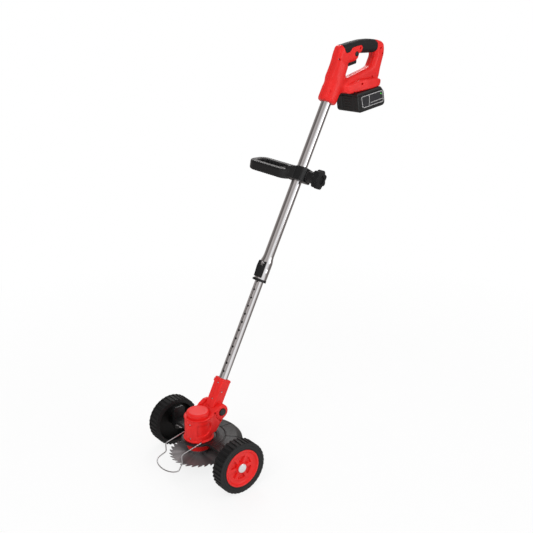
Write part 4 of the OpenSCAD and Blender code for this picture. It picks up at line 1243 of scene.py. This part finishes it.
CASE_SIDE = [(-3, 4), (3, -2), (88, -2), (94, 4), (94, 33), (84, 48), (-3, 48)]
PANEL = [(9, 38), (88, 38), (90, 36), (90, 9), (88, 6.5), (13, 6.5), (11, 9), (7, 36)]
CASE_X = 39.5
PARTING = 40
LIGHT_AT = (82, 29.5)
LIGHT_R = 1.6


def battery_form():
    """The whole outside of the battery, before it is parted into tray and top."""
    body = prism(BATTERY, rounded_loop(CASE_SIDE, 4), -CASE_X, CASE_X, 3.2)
    for side in (-1, 1):
        groove = block(BATTERY, (side * 29.5 - 0.9, -6, 6), (side * 29.5 + 0.9, -2, 42), 0.6)
        body = body.cut(groove, 0.8)
        near, far = sorted((side * (CASE_X - 1), side * (CASE_X + 5)))
        body = body.cut(prism(BATTERY, PANEL, near, far, 0.2).grown(0.15), 0.3)
    body = body.cut(block(BATTERY, (-21, -12, 2), (21, -0.6, 44), 2.2), 0.8)
    for z in (11, 18, 25, 32):
        body = body.join(block(BATTERY, (-12, -1.4, z - 0.9), (12, 0.4, z + 0.9), 0.6), 0.6)
    return body.cut(bar_x(BATTERY, LIGHT_AT, 30, 60, LIGHT_R, 0.1))


def battery_rails():
    rails = block(BATTERY, (-RAIL_X, 0, 44), (RAIL_X, 80, 55.7), 0.8)
    for side in (-1, 1):
        edge = side * RAIL_X
        rails = rails.cut(block(BATTERY, (edge - 3, -2, 49.6), (edge + 3, 81, 52), 0.5), 0.4)
    return rails


def make_battery():
    body = battery_form()
    tray = body.meet(half_space(BATTERY, 2, PARTING - SEAM, False), 0.6)
    tray = tray.cut(block(BATTERY, (-12.4, 77.8, 33), (12.4, 87.4, 60), 0.4), 0.4)
    top = body.meet(half_space(BATTERY, 2, PARTING + SEAM), 0.6).join(battery_rails(), 0.4)
    top = top.cut(block(BATTERY, (-12.2, 78, 38), (12.2, 120, 70), 0.4), 0.5)
    skinned("battery_tray", tray, BATTERY, (-40, -4, -3), (40, 95, 41), 1.0, "battery",
            "black_plastic", ["battery_case"])
    skinned("battery_top", top, BATTERY, (-40, -4, 39), (40, 95, 57), 1.0, "battery",
            "black_plastic", ["battery_lid"])
    panel_pieces()
    dressed("charge_light", "battery", "green_light", 0.4, 3)
    dressed("release_button", "release", "red_plastic", 0.8, 3)


def panel_pieces():
    """The bare dark plates let into both sides, each with a raised bright border and two bars."""
    border = rounded_loop([(11.5, 36.3), (87.5, 36.3), (88.2, 8.4), (14.5, 8.4)], 4.5, 4)
    points, faces = [], []
    for side, word in reversed(SIDES):
        near, far = sorted((side * (CASE_X - 1), side * (CASE_X - 0.25)))
        plate = prism(BATTERY, PANEL, near, far, 0.2)
        plate = plate.cut(bar_x(BATTERY, LIGHT_AT, -60, 60, LIGHT_R, 0.1))
        skinned("panel_plate_" + word, plate, BATTERY, (near - 0.3, 6, 6), (far + 0.3, 91, 39),
                0.6, "battery", "panel_dark", ["battery_panel"])
        for path, closed in ((border, True), ([(40, 36.2), (36.5, 8.6)], False),
                             ([(43, 15.4), (85.5, 16.2)], False)):
            start = len(points)
            ring_points, ring_faces = flat_band(path, 0.8, closed)
            for x in (side * (CASE_X - 1), side * (CASE_X - 0.02)):
                points += [BATTERY.world([x, y, z]) for y, z in ring_points]
            faces += band_solid(ring_faces, len(ring_points), start)
    new_piece("panel_trim", points, faces, "battery", "white_cap", (), 40)


def flat_band(path, half, closed):
    """Points on both sides of a flat line and the quads between them."""
    path = np.array(path, float)
    if closed:
        ahead = np.roll(path, -1, 0) - np.roll(path, 1, 0)
    else:
        ahead = np.gradient(path, axis=0)
    ahead /= np.linalg.norm(ahead, axis=1)[:, None]
    across = np.stack([-ahead[:, 1], ahead[:, 0]], 1) * half
    count = len(path)
    quads = [(i, (i + 1) % count, (i + 1) % count + count, i + count)
             for i in range(count if closed else count - 1)]
    return np.concatenate([path - across, path + across]), quads


def band_solid(quads, count, start):
    """Closes a flat band drawn on two levels: count points on each level."""
    edges = {}
    for quad in quads:
        for a, b in zip(quad, quad[1:] + quad[:1]):
            edges.setdefault(frozenset((a, b)), []).append((a, b))
    low, high = start, start + count
    faces = [[low + i for i in quad][::-1] for quad in quads]
    faces += [[high + i for i in quad] for quad in quads]
    faces += [[low + a, low + b, high + b, high + a]
              for (a, b), in (e for e in edges.values() if len(e) == 1)]
    return faces


# ------------------------------------------------------------------ loop handle

LINER_BORE = 14.95
# the ring's reach from the tube, half its width and the radius of its corners
RING_IN, RING_OUT, RING_HALF, RING_CORNER = 12, 140, 38, 28
BRANCH = 20
CLAMP_LOW, CLAMP_TOP = -18, 17


def ring_form():
    """A flat ring with round corners and rounded edges."""

    def distance(points):
        q = RING.local(points)
        x, across = q[:, 0], np.abs(q[:, 1]) - RING_HALF
        outer = slab(across, x, RING_IN, RING_OUT, RING_CORNER)
        inner = slab(across + BRANCH, x, 44, RING_OUT - BRANCH, RING_CORNER - BRANCH)
        return slab(np.maximum(outer, -inner), q[:, 2], -12.5, 12.5, 5.5)

    return Form(distance)


def clamp_slope(points):
    """Distance above the clamp's top, which falls away towards the ring."""
    q = LOOP.local(points)
    slope = (CLAMP_TOP - 4) / 38
    return (q[:, 2] - np.maximum(CLAMP_TOP - (q[:, 0] + 4) * slope, 4)) / sqrt(1 + slope * slope)


def loop_form():
    """The ring with its grips, and the half of the clamp that it grows from."""
    plan = rounded_loop([(-2, -26), (0, -26), (28, -29), (36, -22), (36, 22), (28, 29), (0, 26),
                         (-2, 26)], [0, 0, 0, 5, 6, 6, 5, 0, 0, 0])
    clamp = prism(LOOP, plan, CLAMP_LOW, CLAMP_TOP + 2, 2.0, axis=2).meet(Form(clamp_slope), 2.0)
    body = clamp.join(ring_form(), 4).meet(half_space(LOOP, 0, SEAM), 0.8)
    for i in range(12):
        x = 48 + 6 * i
        body = body.cut(block(RING, (x - 1.5, 32, -18), (x + 1.5, 44, -8.5), 0.8), 0.7)
        body = body.cut(block(RING, (x - 1.5, -44, 8.5), (x + 1.5, -32, 18), 0.8), 0.7)
    for i in range(5):
        x = 62 + 11 * i
        body = body.join(block(RING, (x - 2.6, -24, -9), (x + 2.6, -16.4, 9), 1.5), 1.0)
    return body.cut(drum(LOOP, -60, 60, LINER_BORE, 0.1), 0.6)


def clamp_cap_form():
    """The other half of the clamp, with a boss for the knob."""
    plan = rounded_loop([(0, -26), (-20, -26), (-28, -17), (-28, 17), (-20, 26), (0, 26)],
                        [0, 0, 3, 4, 4, 3, 0, 0])
    cap = prism(LOOP, plan, CLAMP_LOW, CLAMP_TOP, 2.0, axis=2)
    cap = cap.meet(half_space(LOOP, 0, -SEAM, False), 0.8)
    cap = cap.join(drum(KNOB, 20, 47.5, 15, 1.5), 1.5)
    cap = cap.cut(drum(LOOP, -60, 60, LINER_BORE, 0.1), 0.6)
    return cap.cut(drum(KNOB, 0, 80, 4.05, 0.1))


def knob_form():
    """A knob of seven lobes with a hollow face, on its stud."""
    low, high, lobes = 48, 66, 7
    knob = drum(KNOB, low, high, 19.5, 2.5)
    for i in range(lobes):
        a = tau / lobes * i
        lobe = LOOP.moved(y=17.5 * sin(a), z=17.5 * cos(a)).facing((-1, 0, 0))
        knob = knob.join(drum(lobe, low, high, 7, 2.5), 3)
    knob = knob.cut(drum(KNOB, 62.5, 80, 11, 0.4), 0.8)
    return knob.join(drum(KNOB, 15.5, 50, 4, 0.5), 0.5)


def make_loop():
    skinned("loop_moulding", loop_form(), LOOP, (0, -46, -34), (142, 46, 34), 1.15, "loop",
            "black_plastic", ["loop_handle"])
    skinned("clamp_cap_moulding", clamp_cap_form(), LOOP, (-49, -28, -20), (0, 28, 19), 0.9,
            "loop", "black_plastic", ["clamp_cap"])
    dressed("clamp_liner", "liner", "black_plastic", 0.3)
    skinned("knob_moulding", knob_form(), LOOP, (-67, -26, -26), (-14, 26, 26), 0.85, "knob",
            "soft_grip", ["star_knob"])


# ------------------------------------------------------------------ what the CAD shows itself


def finish_carried_nodes():
    """Finishes for the CAD nodes that no moulding stands for."""
    for part in frame["record"]["subparts"]:
        node = frame["nodes"][part["node"]]
        node.data.materials.clear()
        node.data.materials.append(FINISHES[part["material_slot"]])
        shade(node, 32)


# ------------------------------------------------------------------ stage


FLOOR_HALF = 15.0


def make_floor(colour, whiteness):
    corners = [(-FLOOR_HALF, -FLOOR_HALF, 0), (FLOOR_HALF, -FLOOR_HALF, 0),
               (FLOOR_HALF, FLOOR_HALF, 0), (-FLOOR_HALF, FLOOR_HALF, 0)]
    mesh = bpy.data.meshes.new("floor")
    mesh.from_pydata(corners, [], [(0, 1, 2, 3)])
    mesh.materials.append(floor_finish("floor", colour, whiteness))
    added("floor", mesh)


def make_lamp(name, at, aim, width, height, energy, mirrored=True):
    light = bpy.data.lights.new(name, "AREA")
    light.shape = "RECTANGLE"
    light.size, light.size_y, light.energy = width, height, energy
    lamp = added(name, light)
    lamp.location = at
    lamp.rotation_euler = look_rotation(np.array(at, float), np.array(aim, float))
    lamp.visible_glossy = mirrored


def look_rotation(at, aim):
    """Euler angles that turn an object's -Z from at towards aim, with its Y upwards."""
    ahead = (aim - at) / np.linalg.norm(aim - at)
    return acos(-ahead[2]), 0.0, atan2(ahead[1], ahead[0]) - pi / 2


FRONT = np.array([0.7416, -0.5938, 0.3123])  # where SKY_BANDS has its 0 degrees


def make_world(ambient):
    """White for the camera, banded in reflections, and plain soft light for everything else."""
    world = bpy.data.worlds.new("studio")
    world.use_nodes = True
    nodes = Nodes(world.node_tree)
    nodes.tree.nodes.clear()
    out = nodes.tree.nodes.new("ShaderNodeOutputWorld")
    towards = nodes.node("TexCoord", output="Generated")
    ahead = FRONT - POLE_UP * (FRONT @ POLE_UP)
    ahead /= np.linalg.norm(ahead)
    bands = nodes.around(nodes.direction(towards, np.cross(POLE_UP, ahead)),
                         nodes.direction(towards, ahead), SKY_BANDS)
    sky = nodes.either(nodes.ray("Glossy"),
                       nodes.glows("Background", (ambient, ambient, ambient, 1)),
                       nodes.glows("Background", bands))
    white = nodes.glows("Background", WHITE)
    nodes.link(nodes.either(nodes.ray("Camera"), sky, white), out.inputs[0])
    bpy.context.scene.world = world


def make_stage():
    scene = bpy.context.scene
    stage = scene.edger_stage
    middle = (AXLE.origin + (0, 250, 400)) / METRE
    make_floor(tuple(stage.floor_colour), stage.whiteness)
    make_lamp("key", middle + (1.2, -2.2, 2.2), middle, 1.6, 1.6, stage.key_energy,
              mirrored=False)
    make_lamp("fill", middle + (2.6, 1.2, 0.9), middle, 1.2, 2.4, stage.key_energy * 0.45)
    make_lamp("rim", middle + (-2.0, 1.4, 2.2), middle, 1.2, 1.2, stage.key_energy * 0.6)
    make_world(stage.ambient)
    make_camera()
    scene.view_settings.view_transform = "Standard"


def make_camera():
    data = bpy.data.cameras.new("camera")
    data.sensor_width, data.lens = 36.0, 53.97
    camera = added("camera", data)
    hub = AXLE.origin / METRE
    at = hub + (1.4851, -0.9881, 1.0476)
    aim = hub + (-0.0093, 0.2084, 0.4183)
    camera.location = at
    camera.rotation_euler = look_rotation(at, aim)
    bpy.context.scene.camera = camera


# ------------------------------------------------------------------ add-on


class EDGER_PG_finishes(bpy.types.PropertyGroup):
    """Driving colours of the edger's mouldings."""

    shell_red: FloatVectorProperty(
        name="Shell red", description="Colour of the head, neck, hubs and handle",
        default=(0.78, 0.014, 0.012), subtype="COLOR", size=3, min=0, max=1)
    moulded_black: FloatVectorProperty(
        name="Moulded black", description="Colour of the tyres, shield, loop and battery",
        default=(0.008, 0.0083, 0.009), subtype="COLOR", size=3, min=0, max=1)


class EDGER_PG_sizes(bpy.types.PropertyGroup):
    """Driving sizes of the edger's finer relief."""

    lug_height: FloatProperty(
        name="Lug height", description="How far the tyres' lugs stand proud", default=0.0024,
        min=0, max=0.004, unit="LENGTH")
    crease_depth: FloatProperty(
        name="Crease depth", description="Depth of the creases in the shield", default=0.0013,
        min=0, max=0.002, unit="LENGTH")
    wire_radius: FloatProperty(
        name="Wire radius", description="Radius of the front guard's wire", default=0.00148,
        min=0.0005, max=0.0015, unit="LENGTH")


class EDGER_PG_stage(bpy.types.PropertyGroup):
    """Driving values of the stage."""

    floor_colour: FloatVectorProperty(
        name="Floor", description="Colour of the floor", default=(0.9, 0.9, 0.9),
        subtype="COLOR", size=3, min=0, max=1)
    whiteness: FloatProperty(
        name="Whiteness", description="Share of plain white in the floor", default=0.82,
        min=0, max=1)
    ambient: FloatProperty(
        name="Ambient", description="Level of the soft light from all round", default=0.68,
        min=0, max=1)
    key_energy: FloatProperty(
        name="Key lamp", description="Power of the lamp above the front", default=36.0,
        min=0, max=400)


def operator(idname, label, description, maker):
    """An operator class that runs one maker."""

    def execute(self, context):
        maker()
        return {"FINISHED"}

    return type("EDGER_OT_" + idname, (bpy.types.Operator,),
                {"bl_idname": "edger." + idname, "bl_label": label, "__doc__": description,
                 "bl_options": {"REGISTER", "UNDO"}, "execute": execute})


OPERATORS = [
    operator("finishes", "Finishes", "Makes one material for each slot of the record.",
             make_finishes),
    operator("head", "Motor head", "Makes the head's shells, cap and spindle ring.", make_head),
    operator("shield", "Shield", "Makes the half-round shield over the blade.", make_shield),
    operator("blade", "Blade", "Makes the toothed blade, its tips, flange and nut.", make_blade),
    operator("wheels", "Wheels", "Makes both wheels with their hub dishes and arms.",
             make_wheels),
    operator("guard", "Wire guard", "Makes the bent wire guard.", make_guard),
    operator("neck", "Neck", "Makes the neck shells at the foot of the tubes.", make_neck),
    operator("tubes", "Tubes and collar", "Makes the tubes, the collar and its latch.",
             make_tubes),
    operator("handle", "D-handle", "Makes the handle's shells, grip, trigger and screws.",
             make_handle),
    operator("battery", "Battery", "Makes the battery, its panels, light and release.",
             make_battery),
    operator("loop", "Loop handle", "Makes the loop handle, its clamp and knob.", make_loop),
    operator("carried", "Inner pieces", "Gives finishes to the pieces shown as packed.",
             finish_carried_nodes),
    operator("stage", "Stage", "Sets the floor, the lamps, the sky and the camera.", make_stage),
]


class EDGER_PT_panel(bpy.types.Panel):
    """Sidebar panel with every step of the edger."""

    bl_idname = "EDGER_PT_panel"
    bl_label = "Lawn Edger"
    bl_space_type = "VIEW_3D"
    bl_region_type = "UI"
    bl_category = "Lawn Edger"

    def draw(self, context):
        scene = context.scene
        for group in (scene.edger_finishes, scene.edger_sizes, scene.edger_stage):
            for key in group.__annotations__:
                self.layout.prop(group, key)
        for cls in OPERATORS:
            self.layout.operator(cls.bl_idname)


CLASSES = [EDGER_PG_finishes, EDGER_PG_sizes, EDGER_PG_stage, *OPERATORS, EDGER_PT_panel]


def register():
    for cls in CLASSES:
        bpy.utils.register_class(cls)
    bpy.types.Scene.edger_finishes = PointerProperty(type=EDGER_PG_finishes)
    bpy.types.Scene.edger_sizes = PointerProperty(type=EDGER_PG_sizes)
    bpy.types.Scene.edger_stage = PointerProperty(type=EDGER_PG_stage)


def unregister():
    del bpy.types.Scene.edger_finishes
    del bpy.types.Scene.edger_sizes
    del bpy.types.Scene.edger_stage
    for cls in reversed(CLASSES):
        bpy.utils.unregister_class(cls)


def main():
    register()
    for cls in OPERATORS:
        getattr(bpy.ops.edger, cls.bl_idname.split(".")[1])()


if __name__ == "__main__":
    main()
